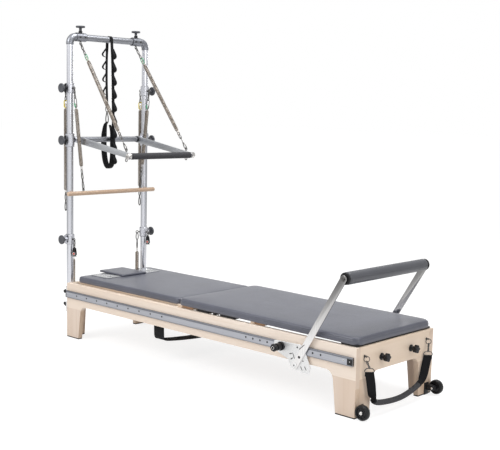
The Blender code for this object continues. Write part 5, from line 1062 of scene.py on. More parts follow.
def make_collar(name, old, side, z, height, eyes, body):
    """A collar with dark rings of painted shadow at its ends, its knob and eyes; one without eyes
    bears the push-through bar.
    """
    axis = Vector((POST_X, side * POST_Y, z))
    shells = [sleeve_shell(axis, height, COLLAR_RADIUS, Z_AXIS)]
    if not eyes:
        shells.append(lathe(mm((0, 0), (21, 0), (21, 16), (19.5, 18), (0, 18)),
                            (POST_X, side * (POST_Y - 0.0275), PUSH_Z), (0, -side, 0), 40))
    # Painted shadow: dark rings at both ends of the collar, where it meets the post
    rims = [band(BORE, COLLAR_RADIUS - 0.0012, SHADE_RING_THICK,
                 axis + Z_AXIS * way * (height / 2 + 0.0004), Z_AXIS, 48) for way in (-1, 1)]
    piece(name, shells, collar_metal, body, "cast_grey", [old])
    piece(name + "_rims", rims, dark_steel, body, "cast_grey")
    cast = (collar_metal, "cast_grey") if body.startswith("collar") else (black_plastic,
                                                                          "black_plastic")
    make_knob((name + "_knob", name + "_flange"), axis, (0, side, 0), COLLAR_RADIUS, body, *cast)
    if eyes:
        bolts = [eyebolt(axis, direction, EYE_REACH, COLLAR_RADIUS - 0.001) for direction in eyes]
        piece(name + "_eyes", bolts, link_steel, body, "steel")


def make_top_bar():
    turn_y = POST_Y - ELBOW_BEND
    bar = rod((POST_X, -turn_y, TOWER_TOP), (POST_X, turn_y, TOWER_TOP), POST_RADIUS, 48)
    elbows, collars, rims, bolts, eyes = [], [], [], [], []
    for label, side in SIDES:
        spots = [(POST_Y, ELBOW_LOW), (POST_Y, ELBOW_LOW + 0.001), (POST_Y, ELBOW_LOW + 0.005)]
        spots += [(turn_y + ELBOW_BEND * cos(a), TOWER_TOP - ELBOW_BEND + ELBOW_BEND * sin(a))
                  for a in (pi / 2 * k / 16 for k in range(17))]
        spots += [(turn_y - 0.003, TOWER_TOP), (turn_y - 0.004, TOWER_TOP)]
        radii = [ELBOW_RADIUS] * len(spots)
        radii[0] = radii[-1] = ELBOW_RADIUS - 0.0012
        elbows.append(tube([(POST_X, side * y, z) for y, z in spots], radii, 48))
        centre = Vector((POST_X, side * TOP_COLLAR_Y, TOWER_TOP))
        collars.append(sleeve_shell(centre, TOP_COLLAR_LENGTH, TOP_COLLAR_RADIUS, Y_AXIS))
        # Painted shadow: dark rings at the ends of each top collar and under each elbow
        rims += [band(BORE, TOP_COLLAR_RADIUS - 0.0010, SHADE_RING_THICK, centre + Y_AXIS * y, Y_AXIS, 40)
                 for y in (-0.0385, 0.0385)]
        rims.append(band(BORE, ELBOW_RADIUS - 0.0008, SHADE_RING_THICK,
                         (POST_X, side * POST_Y, ELBOW_LOW - 0.0007), Z_AXIS, 40))
        for y in (-0.020, 0.020):
            spot = centre + Vector((TOP_COLLAR_RADIUS - 0.0015, y, 0.0))
            bolts.append(rod(spot, spot + X_AXIS * 0.0070, 0.0062, 6, 0.0006))
        make_knob(("top_knob_" + label, "top_flange_" + label), centre, Z_AXIS, TOP_COLLAR_RADIUS,
                  "frame", black_plastic, "black_plastic")
        eyes.append(eyebolt(centre, (0, 0, -1), 0.0375, TOP_COLLAR_RADIUS - 0.001))
    pieces("frame", "", ("top_tube", [bar], bar_metal, "aluminium_tube", "top_bar"),
           ("top_elbows", elbows, elbow_metal, "cast_grey"),
           ("top_collars", collars, elbow_metal, "cast_grey"),
           ("top_shade_rings", rims, dark_steel, "cast_grey"), ("top_bolts", bolts, link_steel, "steel"),
           ("top_eyes", eyes, link_steel, "steel"))


def make_post(label, side):
    y = side * POST_Y
    outer = tube([(POST_X, y, POST_FOOT), (POST_X, y, ELBOW_LOW + 0.008)], POST_RADIUS, 56)
    piece("upright_" + label, [outer], tube_metal, "frame", "aluminium_tube", ["post_" + label])


def make_clamp(label, side):
    """Two saddles behind the post, each drawn up by a wing screw."""
    y = side * POST_Y
    inner, outer, half = CLAMP_INNER, CLAMP_OUTER, CLAMP_HALF
    middle, thick, back = (inner + outer) / 2, (outer - inner) / 2, POST_X - outer
    section = [(-half, -thick), (half, -thick), (half, thick), (-half, thick)]
    saddles, wings = [], []
    for z, tilt in ((0.298, -WING_TILT), (0.195, WING_TILT)):
        arc = [(POST_X + middle * cos(a), y + middle * sin(a), z)
               for a in (pi * (0.5 + k / 20) for k in range(21))]
        arc = [(-0.0003, arc[0][1], z)] + arc + [(-0.0003, arc[-1][1], z)]
        near, far = sorted((side * (POST_Y - outer - 0.010), side * (POST_Y - inner)))
        saddles += [sweep(arc, section, Z_AXIS),
                    block((-0.0045, near, z - half), (-0.0004, far, z + half), 0.0008),
                    rod((back + 0.002, y, z), (back - 0.006, y, z), 0.0075, 6)]
        hub = Vector((back - 0.013, y, z))
        length = (hub.x - WING_END_X) / cos(tilt) - 0.004
        blade = slab([rounded([(-0.004, -0.0070, 0.003), (length, -0.0120, 0.0085),
                               (length, 0.0120, 0.0085), (-0.004, 0.0070, 0.003)], 6)],
                     -0.0042, 0.0042, FLAT, 0.0015, 2)
        direction = Vector((-cos(tilt), 0.0, sin(tilt)))
        turn = Matrix((direction, direction.cross(Y_AXIS), Y_AXIS)).transposed().to_4x4()
        wings += [rod((back - 0.004, y, z), (back - 0.017, y, z), 0.0062, 20, 0.001),
                  moved(blade, Matrix.Translation(hub) @ turn)]
    pieces("frame", label, ("clamp_saddles_", saddles, bright_steel, "steel", "post_clamp_"),
           ("clamp_wings_", wings, black_plastic, "black_plastic"))


def inward_way(side):
    return Vector((-sin(INWARD_TURN), -side * cos(INWARD_TURN), 0))


make_top_bar()
for tag, sign in SIDES:
    make_post(tag, sign)
    make_clamp(tag, sign)
    for level, *collar in (
            ("upper", UPPER_COLLAR_Z, COLLAR_HEIGHT, (X_AXIS, -X_AXIS), "upper_collars"),
            ("mid", MID_COLLAR_Z, PIVOT_COLLAR_HEIGHT, (), "frame"),
            ("lower", LOWER_COLLAR_Z, COLLAR_HEIGHT, (inward_way(sign), X_AXIS), "collar_" + tag)):
        make_collar(level + "_sleeve_" + tag, level + "_collar_" + tag, sign, *collar)


# Springs

def spring_shells(top, end, lead, tail, pitch=COIL_PITCH, wire=WIRE, steps=12):
    """A coil spring and the drawn-in loop at each of its ends."""
    pull = (end - top).normalized()
    across = Y_AXIS.cross(pull).normalized()
    start, stop = top + pull * lead, end - pull * tail
    turns = (stop - start).length / pitch
    shells = [tube(coil_path(start, stop, COIL_OUTER - wire, turns, steps), wire, 6)]
    for place, way in ((start, -pull), (stop, pull)):
        shells.append(oval(place + way * 0.014, way, across, 0.018, 0.0062, wire * 0.95))
    return shells


def make_hanging_springs(label, side):
    """The roll-down, leg and arm springs of one side, with their hooks and links."""
    top = Vector((EYE_CENTRE_X, side * POST_Y, UPPER_COLLAR_Z))
    end = Vector((EYE_CENTRE_X, side * DOWEL_EYE_Y, ROLL_SPRING_END_Z))
    pull = (end - top).normalized()
    links = linked(top, pull, (("hook", 0.003, X_AXIS, 0.034, 0.0065, 0.0022),
                               ("rod", 0.034, 0.046, 0.0046),
                               ("hook", 0.043, Y_AXIS, 0.022, 0.0060, 0.0021),
                               ("oval", 0.092, X_AXIS, 0.031, 0.0118, 0.0024)))
    links += linked(end - pull * 0.124, pull, (("oval", 0.006, X_AXIS, 0.014, 0.0075, 0.0022),
                                               ("hook", 0.016, X_AXIS, 0.040, 0.0100, 0.0024),
                                               ("rod", 0.054, 0.070, 0.0050),
                                               ("hook", 0.066, X_AXIS, 0.058, 0.0100, 0.0024)))
    start = top + pull * 0.094 - X_AXIS * 0.0118
    stop = top + pull * 0.122 - X_AXIS * 0.0060
    grip = tube([start, start.lerp(stop, 0.12), start.lerp(stop, 0.88), stop],
                [0.0046 * 0.7, 0.0046, 0.0046, 0.0046 * 0.7], 16)
    pieces("roll_down", label,
           ("roll_coil_", spring_shells(top, end, 0.132, 0.1526), spring_wire, "spring_steel",
            "roll_down_spring_"),
           ("roll_links_", links, link_steel, "steel"),
           ("roll_marker_", [grip], green_plastic, "black_plastic"))

    down = -Z_AXIS
    top = Vector((POST_X - EYE_REACH, side * POST_Y, UPPER_COLLAR_Z))
    end = top + down * LEG_SPRING_LENGTH
    links = linked(top, down, (("hook", 0.003, X_AXIS, 0.040, 0.0070, 0.0022),
                               ("rod", 0.040, 0.052, 0.0046),
                               ("hook", 0.048, Y_AXIS, 0.034, 0.0068, 0.0023)))
    links += linked(end, down, (("hook", -0.118, X_AXIS, 0.050, 0.0095, 0.0024),
                                ("rod", -0.072, -0.056, 0.0048),
                                ("hook", -0.060, X_AXIS, 0.058, 0.0105, 0.0024)))
    marker = oval(top + down * 0.100, down, Vector((0.8, 0.6, 0)), 0.0235, 0.0098, 0.0034)
    pieces("leg_" + label, label,
           ("leg_coil_", spring_shells(top, end, 0.130, 0.135), spring_wire, "spring_steel",
            "leg_spring_"),
           ("leg_links_", links, link_steel, "steel"),
           ("leg_marker_", [marker], yellow_plastic, "black_plastic"))

    inward = inward_way(side)
    across = inward.cross(Z_AXIS)
    top = Vector((POST_X, side * POST_Y, LOWER_COLLAR_Z)) + inward * EYE_REACH
    end = top + down * ARM_SPRING_LENGTH
    links = linked(top, down, (("hook", 0.004, inward, 0.050, 0.0095, 0.0023),
                               ("rod", 0.050, 0.062, 0.0048),
                               ("hook", 0.058, across, 0.052, 0.0115, 0.0023)))
    links += linked(end, down, (("hook", -0.036, across, 0.036, 0.0075, 0.0020),))
    pieces("arm_" + label, label,
           ("arm_coil_", spring_shells(top, end, 0.138, 0.045), spring_wire, "spring_steel",
            "lower_spring_"),
           ("arm_links_", links, link_steel, "steel"))


def make_push_spring(label, side):
    top = Vector((POST_X, side * TOP_COLLAR_Y, TOP_EYE_Z))
    end = Vector((PUSH_SPRING_END_X, side * PUSH_ARM_Y, PUSH_SPRING_END_Z))
    pull = (end - top).normalized()
    across = Y_AXIS.cross(pull).normalized()
    tail = 0.140
    coil = spring_shells(top, end, 0.142, tail, PUSH_COIL_PITCH, PUSH_WIRE, 14)
    links = linked(top, pull, (("ring", 0.010, across, 0.0085, 0.0023),
                               ("hook", 0.016, across, 0.038, 0.0085, 0.0024),
                               ("rod", 0.050, 0.062, 0.0048),
                               ("hook", 0.058, across, 0.036, 0.0080, 0.0024)))
    links += linked(end - pull * tail, pull, (("ring", 0.022, Y_AXIS, 0.0095, 0.0024),
                                              ("hook", 0.028, across, 0.030, 0.0095, 0.0024),
                                              ("rod", 0.052, 0.062, 0.0054),
                                              ("rod", 0.058, 0.094, 0.0026, 12, 0.0),
                                              ("rod", 0.090, 0.102, 0.0052),
                                              ("hook", 0.098, across, 0.042, 0.0105, 0.0024)))
    marker = oval(top + pull * 0.112, pull, across, 0.0210, 0.0100, 0.0028)
    for name, shells, finish, slot, old in (
            ("push_coil_", coil, spring_wire, "spring_steel", ["push_spring_" + label]),
            ("push_links_", links, link_steel, "steel", []),
            ("push_marker_", [marker], green_plastic, "black_plastic", [])):
        made = piece(name + label, shells, finish, None, slot, old)
        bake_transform(made)


def make_dowel():
    r, length = DOWEL_RADIUS, 2 * DOWEL_HALF
    rim = [(0.0, 0.0), (r - 0.004, 0.0), (r - 0.0012, 0.0012), (r, 0.004)]
    profile = rim + [(radius, length - y) for radius, y in reversed(rim)]
    dowel = lathe(profile, (EYE_CENTRE_X, -DOWEL_HALF, DOWEL_Z), Y_AXIS, 40)
    eyes = [eyebolt((EYE_CENTRE_X, side * DOWEL_EYE_Y, DOWEL_Z), Z_AXIS, 0.0235, 0.0135)
            for _, side in SIDES]
    pieces("roll_down", "", ("roll_dowel", [dowel], dowel_wood, "dowel", "roll_down_bar"),
           ("roll_eyes", eyes, link_steel, "steel"))


for tag, sign in SIDES:
    make_hanging_springs(tag, sign)
    make_push_spring(tag, sign)
make_dowel()


# Push-through bar

def make_push_bar():
    length, slope = hypot(PUSH_REACH, PUSH_DROP), atan2(-PUSH_DROP, PUSH_REACH)
    arm_in, arm_out = PUSH_ARM_Y - 0.005, PUSH_ARM_Y + 0.005
    half, tip = 0.023, length + 0.012
    outline = leaning([(-half, -half, half * 0.97), (tip, -0.0165, 0.0155), (tip, 0.0165, 0.0155),
                       (-half, half, half * 0.97)], 10, slope, POST_X, PUSH_Z)
    cross = [rod((POST_X, -arm_in + 0.001, PUSH_Z), (POST_X, arm_in - 0.001, PUSH_Z),
                 PUSH_TUBE_RADIUS, 48)]
    end_x, end_z = POST_X + PUSH_REACH, PUSH_Z - PUSH_DROP
    share = 1 - 0.042 / length
    eye_x, eye_z = POST_X + PUSH_REACH * share, PUSH_Z - PUSH_DROP * share
    arms, dark, bright, eyes = [], [], [], []
    for _, side in SIDES:
        arms.append(side_slab([outline], side, arm_in, arm_out, 0.0014, 2))
        cross.append(side_rod(side, POST_X, PUSH_Z, arm_out, PUSH_TUBE_HALF, PUSH_TUBE_RADIUS, 40,
                              0.001))
        dark.append(side_rod(side, POST_X, PUSH_Z, arm_in - 0.008, arm_in + 0.0005, 0.0205, 40,
                             0.001))
        bright.append(side_lathe(mm((0, 22.5), (14, 22.2), (18, 20.5), (19, 18), (19, 0), (0, 0)),
                                 side, end_x, arm_out, end_z))
        eyes += [eyebolt((eye_x, side * PUSH_ARM_Y, eye_z), way, 0.032, 0.020)
                 for way in (Z_AXIS, -Z_AXIS)]
    pieces("push_bar", "", ("push_tube", cross, push_tube_metal, "aluminium_tube", "push_frame"),
           ("push_arms", arms, push_metal, "aluminium_tube"),
           ("push_bushes", dark, black_plastic, "black_plastic"),
           ("push_fittings", bright, bright_steel, "steel"),
           ("push_eyes", eyes, link_steel, "steel"))
    reach, r = arm_in - 0.0003, GRIP_RADIUS
    rim = [(0.0125, 0.0), (r - 0.003, 0.0), (r - 0.0008, 0.0010), (r, 0.0035)]
    middle = []
    for i in range(1, 60):
        y = 0.0035 + (2 * reach - 0.007) * i / 60
        middle.append((r + 0.00025 * noise.noise(Vector((y * 40, 0.3, 0.7))), y))
    profile = rim + middle + [(radius, 2 * reach - y) for radius, y in reversed(rim)]
    grip = piece("push_foam", [lathe(profile, (end_x, -reach, end_z), Y_AXIS, 40)], foam_black,
                 "push_bar", "foam", ["push_grip"])


make_push_bar()


# Safety strap

STRAP_Y = 0.005
BACK_RUN = ((-0.022, 1.500), (-0.024, 1.560), (-0.027, 1.620), (-0.029, 1.700), (-0.028, 1.800),
            (-0.025, 1.880))
FRONT_RUN = ((0.027, 1.880), (0.034, 1.780), (0.039, 1.640), (0.042, 1.480), (0.043, 1.330),
             (0.042, 1.200), (0.040, 1.160), (0.034, 1.132))
FOOT_LOOP = ((-0.020, 1.398), (-0.040, 1.378), (-0.050, 1.335), (-0.055, 1.285), (-0.054, 1.225),
             (-0.047, 1.170), (-0.033, 1.125), (-0.010, 1.096), (0.010, 1.097), (0.028, 1.120),
             (0.038, 1.166), (0.040, 1.228), (0.037, 1.290), (0.028, 1.340), (0.008, 1.378))
# A pocket's spine: how far it stands out, and its place as (share of its drop, offset)
POCKET_SPINE = ((0.0, 0.0, 0.004), (0.08, 0.0, 0.0), (0.55, 0.30, 0.0), (1.0, 0.62, 0.0),
                (0.92, 0.86, 0.0), (0.35, 1.0, 0.0), (0.0, 1.0, 0.003))


def strap_run(spots, steps=8):
    return smooth_path([(POST_X + x, STRAP_Y, z) for x, z in spots], steps)


def pocket(x, top, low, bulge, out):
    """A loop of the daisy chain that stands away from the run behind it."""
    spine = [Vector((POST_X + x, STRAP_Y, top - (top - low) * share + lift)) + out * reach * bulge
             for reach, share, lift in POCKET_SPINE]
    return sweep(smooth_path(spine, 6), web_section(0.022, 0.0024),
                 Z_AXIS.cross(out) * 0.93 + out * 0.36)


def make_safety_strap():
    over = POST_RADIUS + 0.0018
    arc = [(POST_X + over * cos(a), STRAP_Y, TOWER_TOP + over * sin(a))
           for a in (pi - pi * k / 18 for k in range(19))]
    back, front = strap_run(BACK_RUN), strap_run(FRONT_RUN)
    turned_back = Vector((-0.22, 0.975, 0.0))
    turns = [turned_back.lerp(Y_AXIS, max(0.0, (p[2] - 1.84) / 0.04)).normalized() for p in back]
    shells = [sweep(back + arc + front, web_section(0.024, 0.0026),
                    turns + [Y_AXIS] * (len(arc) + len(front)))]
    shells += [pocket(-0.0275 - (i % 3) * 0.0008, 1.882 - i * 0.082, 1.824 - i * 0.082,
                      0.027 - i * 0.002, Vector((-0.73, -0.68, 0.0))) for i in range(4)]
    shells += [pocket(0.0315 + min(i, 5) * 0.0018, 1.872 - i * 0.086, 1.808 - i * 0.086, 0.028,
                      X_AXIS) for i in range(9)]
    links = linked(Vector((POST_X - 0.023, STRAP_Y, 1.512)), -Z_AXIS,
                   (("hook", 0.0, Vector((0.6, 0.8, 0)), 0.048, 0.010, 0.0022),
                    ("rod", 0.044, 0.060, 0.0058)))
    links.append(snap_hook(Vector((POST_X - 0.022, STRAP_Y, 1.456)), -Z_AXIS, X_AXIS, 0.068, 0.016,
                           0.0026))
    pieces("frame", "", ("safety_web", shells, web_upright, "webbing", "safety_strap"),
           ("safety_links", links, link_steel, "steel"))

    run = headings(strap_run(FOOT_LOOP, 6))
    points = []
    for i, (place, along) in enumerate(run):
        out = along.cross(Y_AXIS)
        share = sin(pi * i / (len(run) - 1))
        wide = 0.010 + 0.013 * min(1.0, share * 1.9)
        thick = 0.0022 + 0.0028 * min(1.0, share * 1.7)
        for angle in angles(16):
            u = abs(cos(angle)) ** 0.55 * (1 if cos(angle) > 0 else -1)
            points.append(place + Y_AXIS * wide * u + out * thick * sin(angle))
    sling = piece("safety_loop", [skin(points, len(run), 16)], web_upright, "frame", "webbing",
                  sharp=60.0)


make_safety_strap()


# Pulleys

def make_pulley(label, side, drop, lean):
    x, y, z = EYE_CENTRE_X + lean, side * POST_Y, LOWER_COLLAR_Z
    half = PULLEY_HALF
    top = PULLEY_TOP - drop
    low = top - PULLEY_HEIGHT
    middle = low + half
    centre = Vector((x, y, 0.0))
    turn = (Matrix.Translation(centre) @ Matrix.Rotation(PULLEY_TURN, 4, 'Z')
            @ Matrix.Translation(-centre))
    outline = rounded([(x - half, low, half * 0.92), (x + half, low, half * 0.92),
                       (x + half * 0.50, top, 0.006), (x - half * 0.50, top, 0.006)], 10)
    cheeks = [side_slab([outline], 1.0, y + a, y + b, 0.0008, 2)
              for a, b in ((-0.0075, -0.0046), (0.0046, 0.0075))]
    cheeks.append(block((x - 0.007, y - 0.0048, top - 0.011), (x + 0.007, y + 0.0048, top), 0.001))
    sheave = lathe(mm((0, -4.2), (14.2, -4.2), (14.2, -3), (10, 0), (14.2, 3), (14.2, 4.2),
                      (0, 4.2)), (x, y, middle), Y_AXIS, 32)
    washers = [lathe(mm((7.2, 0), (10.5, 0), (10.5, 0.8), (7.2, 0.8)),
                     (x, y + way * 0.0075, middle), (0, way, 0), 28, closed=True)
               for way in (-1, 1)]
    hub = rod((x, y - 0.0094, middle), (x, y + 0.0094, middle), 0.0068, 24, 0.0010)
    swivel = [rod((x, y, top - 0.003), (x, y, top + 0.007), 0.0046, 18, 0.001),
              snap_hook(Vector((x, y, z - 0.003)), -Z_AXIS, Y_AXIS, z - top - 0.004 - drop * 0.45,
                        0.0066, 0.0021)]
    if drop > 0.01:
        swivel.append(oval((x, y, top + 0.012), Z_AXIS, X_AXIS, 0.0120, 0.0062, 0.0021))
    pieces("block_" + label, label,
           ("pulley_cheeks_", [moved(shell, turn) for shell in cheeks], gloss_plastic,
            "black_plastic", "pulley_"),
           ("pulley_sheave_", [moved(sheave, turn)], knob_plastic, "black_plastic"),
           ("pulley_washers_", [moved(shell, turn) for shell in washers], bright_steel, "steel"),
           ("pulley_hub_", [moved(hub, turn)], red_plastic, "black_plastic"),
           ("pulley_swivel_", swivel, link_steel, "steel"))


make_pulley("near", -1.0, 0.026, 0.0016)
make_pulley("far", 1.0, 0.001, 0.0)


# Footbar, its stop plates' forms counted from its pivot

PLATE_OUTLINE = ((-0.149, 0.106, 0.006), (-0.149, 0.058, 0.008), (-0.050, 0.022, 0.010),
                 (-0.031, -0.020, 0.014), (0.016, -0.028, 0.014), (0.030, -0.021, 0.005),
                 (0.041, -0.031, 0.009), (0.093, -0.033, 0.021), (0.099, 0.004, 0.016),
                 (0.071, 0.062, 0.020), (0.032, 0.112, 0.008))
PLATE_HOLES = ((0.009, 0.094, 0.005), (0.021, 0.047, 0.006))
PLATE_SLOTS = ((-0.041, 0.0510, -0.0268, 0.0566), (-0.020, 0.0590, -0.007, 0.0315),
               (-0.020, 0.0330, -0.031, 0.0250), (0.036, -0.002, 0.0445, -0.018),
               (0.062, 0.002, 0.0720, -0.013))
PLATE_SCREWS = ((0.036, 0.078), (0.009, 0.094), (0.050, 0.030))
SLOT_HALF = 0.0023
KNOB_LOBES = 7


def slot_outline(x0, z0, x1, z1):
    along = Vector((x1 - x0, z1 - z0)).normalized() * SLOT_HALF
    across = Vector((-along.y, along.x))
    ends = ((x0, z0, -along - across), (x1, z1, along - across),
            (x1, z1, along + across), (x0, z0, across - along))
    return rounded([(PIVOT.x + x + d.x, PIVOT.z + z + d.y, SLOT_HALF * 0.9) for x, z, d in ends], 5)


def make_footbar_plate(label, side):
    px, pz = PIVOT.x, PIVOT.z
    outline = rounded([(px + x, pz + z, r) for x, z, r in PLATE_OUTLINE], 8)
    holes = [circle(px + x, pz + z, r) for x, z, r in PLATE_HOLES]
    slots = [slot_outline(*ends) for ends in PLATE_SLOTS]
    plate = side_slab([outline] + holes + slots, side, PLATE_INNER_Y, PLATE_OUTER_Y, 0.0007, 2)
    over, under, hook_in, hook_out = 0.3073, 0.2627, 0.3439, 0.3536
    pivot = side_lathe(mm((0, 5.2), (9, 5.2), (11.2, 4.8), (13.6, 1.4), (13.6, 0.3), (8, 0.3),
                          (8, -9), (0, -9)), side, px, ARM_OUTER_Y, pz, 36)
    lips = [side_block(side, (px - 0.141, hook_in, over), (px + 0.028, hook_out, over + 0.0015),
                       0.0004),
            side_block(side, (px - 0.022, hook_in, under - 0.0047), (px + 0.060, hook_out, under),
                       0.0006)]
    # Painted shade: black discs behind the holes and black fills in the slots
    plate_hole_shade = [side_rod(side, px + x, pz + z, PLATE_INNER_Y + 0.0002, PLATE_INNER_Y + 0.0016,
                        r + 0.0006, 20) for x, z, r in PLATE_HOLES]
    plate_slot_shade = [side_slab([line], side, PLATE_INNER_Y + 0.0004, PLATE_OUTER_Y - 0.0008, 0.0001, 1)
            for line in slots]
    boss = side_lathe(mm((5.8, 0), (23.8, 0), (23.8, 10), (22.6, 11.5), (5.8, 11.5)), side, LOCK_X,
                      PLATE_OUTER_Y - 0.0005, TRACK_MID_Z, 36, closed=True)
    screws = [button((px + x, side * (PLATE_OUTER_Y - 0.0001), pz + z), (0, side, 0), 18,
                     1.0, 0.9, 2.4, 4.0) for x, z in PLATE_SCREWS]
    pieces("footbar_carrier", label,
           ("stop_plate_", [plate, pivot] + lips, plate_metal, "steel", "footbar_plate_"),
           ("stop_painted_shade_", plate_hole_shade + plate_slot_shade, black_plastic, "black_plastic"),
           ("stop_boss_", [boss], gloss_plastic, "black_plastic"),
           ("stop_screws_", screws, black_plastic, "steel"))


def make_lock_knob(label, side):
    """Spring plunger: a lobed grip on a waisted neck, with its pin and end ring."""
    back, tip = PLATE_OUTER_Y + 0.0125, PLATE_OUTER_Y + 0.066
    head = ((0, 1.5), (5.2, 1.5), (6, 0), (8.5, 0), (9.5, 1.8), (13, 1.8), (15, 0.6), (19, 1.5),
            (20.5, 4.5), (20.5, 15.5), (19, 19), (12, 21.5), (10.5, 25), (17.8, 26.2), (19.2, 28))
    profile = [(radius, tip - down) for radius, down in mm(*head)]
    profile += [(0.0192, back + 0.0015), (0.0180, back), (0.0, back)]
    points, faces = lathe(profile, (LOCK_X, 0.0, TRACK_MID_Z), (0, side, 0), 84)
    for p in points:
        dx, dz = p.x - LOCK_X, p.z - TRACK_MID_Z
        if abs(p.y) > tip - 0.020 and hypot(dx, dz) > 0.0125:
            scale = 1 - 0.13 * ((1 + cos(KNOB_LOBES * atan2(dz, dx))) / 2) ** 2
            p.x, p.z = LOCK_X + dx * scale, TRACK_MID_Z + dz * scale
    pin = side_rod(side, LOCK_X, TRACK_MID_Z, PLATE_INNER_Y + 0.0004, back + 0.002, 0.0038, 20)
    nose = ring((LOCK_X, side * (tip - 0.0004), TRACK_MID_Z), Y_AXIS, 0.0078, 0.0013, 28, 8)
    pieces("lock_" + label, label,
           ("stop_knob_", [(points, faces)], gloss_plastic, "black_plastic", "lock_knob_"),
           ("stop_pin_", [pin, nose], bright_steel, "steel"))


def make_footbar():
    reach, rise = BAR.x - PIVOT.x, BAR.z - PIVOT.z
    length, half = hypot(reach, rise), ARM_HALF
    outline = leaning([(-half, -half, half * 0.97), (length + half, -half, half * 0.97),
                       (length + half, half, half * 0.97), (-half, half, half * 0.97)], 10,
                      atan2(rise, reach), PIVOT.x, PIVOT.z)
    hole = circle(PIVOT.x, PIVOT.z, 0.0084)
    bolts = [rod((BAR.x, -ARM_INNER_Y, BAR.z), (BAR.x, ARM_INNER_Y, BAR.z), BAR_RADIUS, 40)]
    arms, rims, catches, studs = [], [], [], []
    for _, side in SIDES:
        arms.append(side_slab([outline, hole], side, ARM_INNER_Y, ARM_OUTER_Y, 0.0009, 2))
        bolts.append(side_lathe(mm((0, 6), (5, 5.8), (7.8, 4), (9, 0), (0, -1)), side, BAR.x,
                                ARM_OUTER_Y, BAR.z, 32))
        bolts.append(button((BAR.x, side * ARM_OUTER_Y, BAR.z), (0, side, 0), 32,
                            1.8, 1.6, 12.5, 13.5))
        rims.append(side_lathe(mm((17, 0), (28.5, 0), (30.6, 2), (30.6, 7.5), (29, 9.5), (17, 9.5)),
                               side, BAR.x, SLEEVE_RIM_Y, BAR.z, 48, closed=True))
        y = side * (ARM_OUTER_Y + 0.0004)
        catches.append(tube([(2.036, y, 0.320), (2.020, y, 0.306), (2.004, y, 0.292)], 0.0018, 10))
        studs += [side_rod(side, 2.0035, 0.250, ARM_INNER_Y + 0.001, ARM_OUTER_Y + 0.0006, 0.0074,
                           24, 0.0004),
                  side_rod(side, PIVOT.x, PIVOT.z, ARM_OUTER_Y + 0.0045, ARM_OUTER_Y + 0.0054,
                           0.0042, 6)]
    pieces("footbar", "", ("footbar_arms", arms, arm_metal, "steel", "footbar_frame"),
           ("footbar_bolts", bolts, link_steel, "steel"),
           ("footbar_catches", catches, link_steel, "steel"),
           ("footbar_studs", studs, black_plastic, "steel"),
           ("footbar_rims", rims, black_plastic, "rubber"))


def make_footbar_sleeve():
    half, rows, sides = SLEEVE_HALF, 80, 56
    points = []
    for i in range(rows + 1):
        y = -half + 2 * half * i / rows
        edge = min(i, rows - i) / rows * 2 * half
        drop = SLEEVE_ROLL * 0.8 * (1 - (1 - max(0.0, 1 - edge / SLEEVE_ROLL) ** 2) ** 0.5)
        for angle in angles(sides):
            seam = 0.0011 * max(0.0, 1 - abs(angle - 1.5 * pi) / 0.07)
            wave = 0.0003 * noise.noise(Vector((y * 9, cos(angle) * 1.4, sin(angle) * 1.4)))
            reach = SLEEVE_RADIUS - drop - seam + wave
            points.append(Vector((BAR.x + reach * cos(angle), y, BAR.z + reach * sin(angle))))
    pad = piece("footbar_cover", [skin(points, rows + 1, sides)], bar_vinyl, "footbar", "vinyl",
                ["footbar_pad"], 60.0)


for tag, sign in SIDES:
    make_footbar_plate(tag, sign)
    make_lock_knob(tag, sign)
make_footbar()
make_footbar_sleeve()


# Carriage and mats

def pad_outline(x0, x1, half, inset, corner, draw_in):
    """A rounded rectangle whose sides are drawn in between the corners."""
    corner_steps, side_steps = 10, 26
    ax, bx = x0 + inset, x1 - inset
    ay, by = -half + inset, half - inset
    radius = max(min(corner - inset * 0.6, (bx - ax) / 2.05, (by - ay) / 2.05), 0.0015)
    arcs = []
    for cx, cy, first in ((bx - radius, by - radius, 0.0), (ax + radius, by - radius, pi / 2),
                          (ax + radius, ay + radius, pi), (bx - radius, ay + radius, 1.5 * pi)):
        turns = [first + pi / 2 * k / corner_steps for k in range(corner_steps + 1)]
        arcs.append([Vector((cx + radius * cos(a), cy + radius * sin(a), 0)) for a in turns])
    centre = Vector(((ax + bx) / 2, 0, 0))
    outline = []
    for i, arc in enumerate(arcs):
        start, end = arc[-1], arcs[(i + 1) % 4][0]
        inward = (centre - (start + end) / 2).normalized()
        shares = [k / (side_steps + 1) for k in range(1, side_steps + 1)]
        outline += arc + [start.lerp(end, t) + inward * draw_in * sin(pi * t) for t in shares]
    return outline


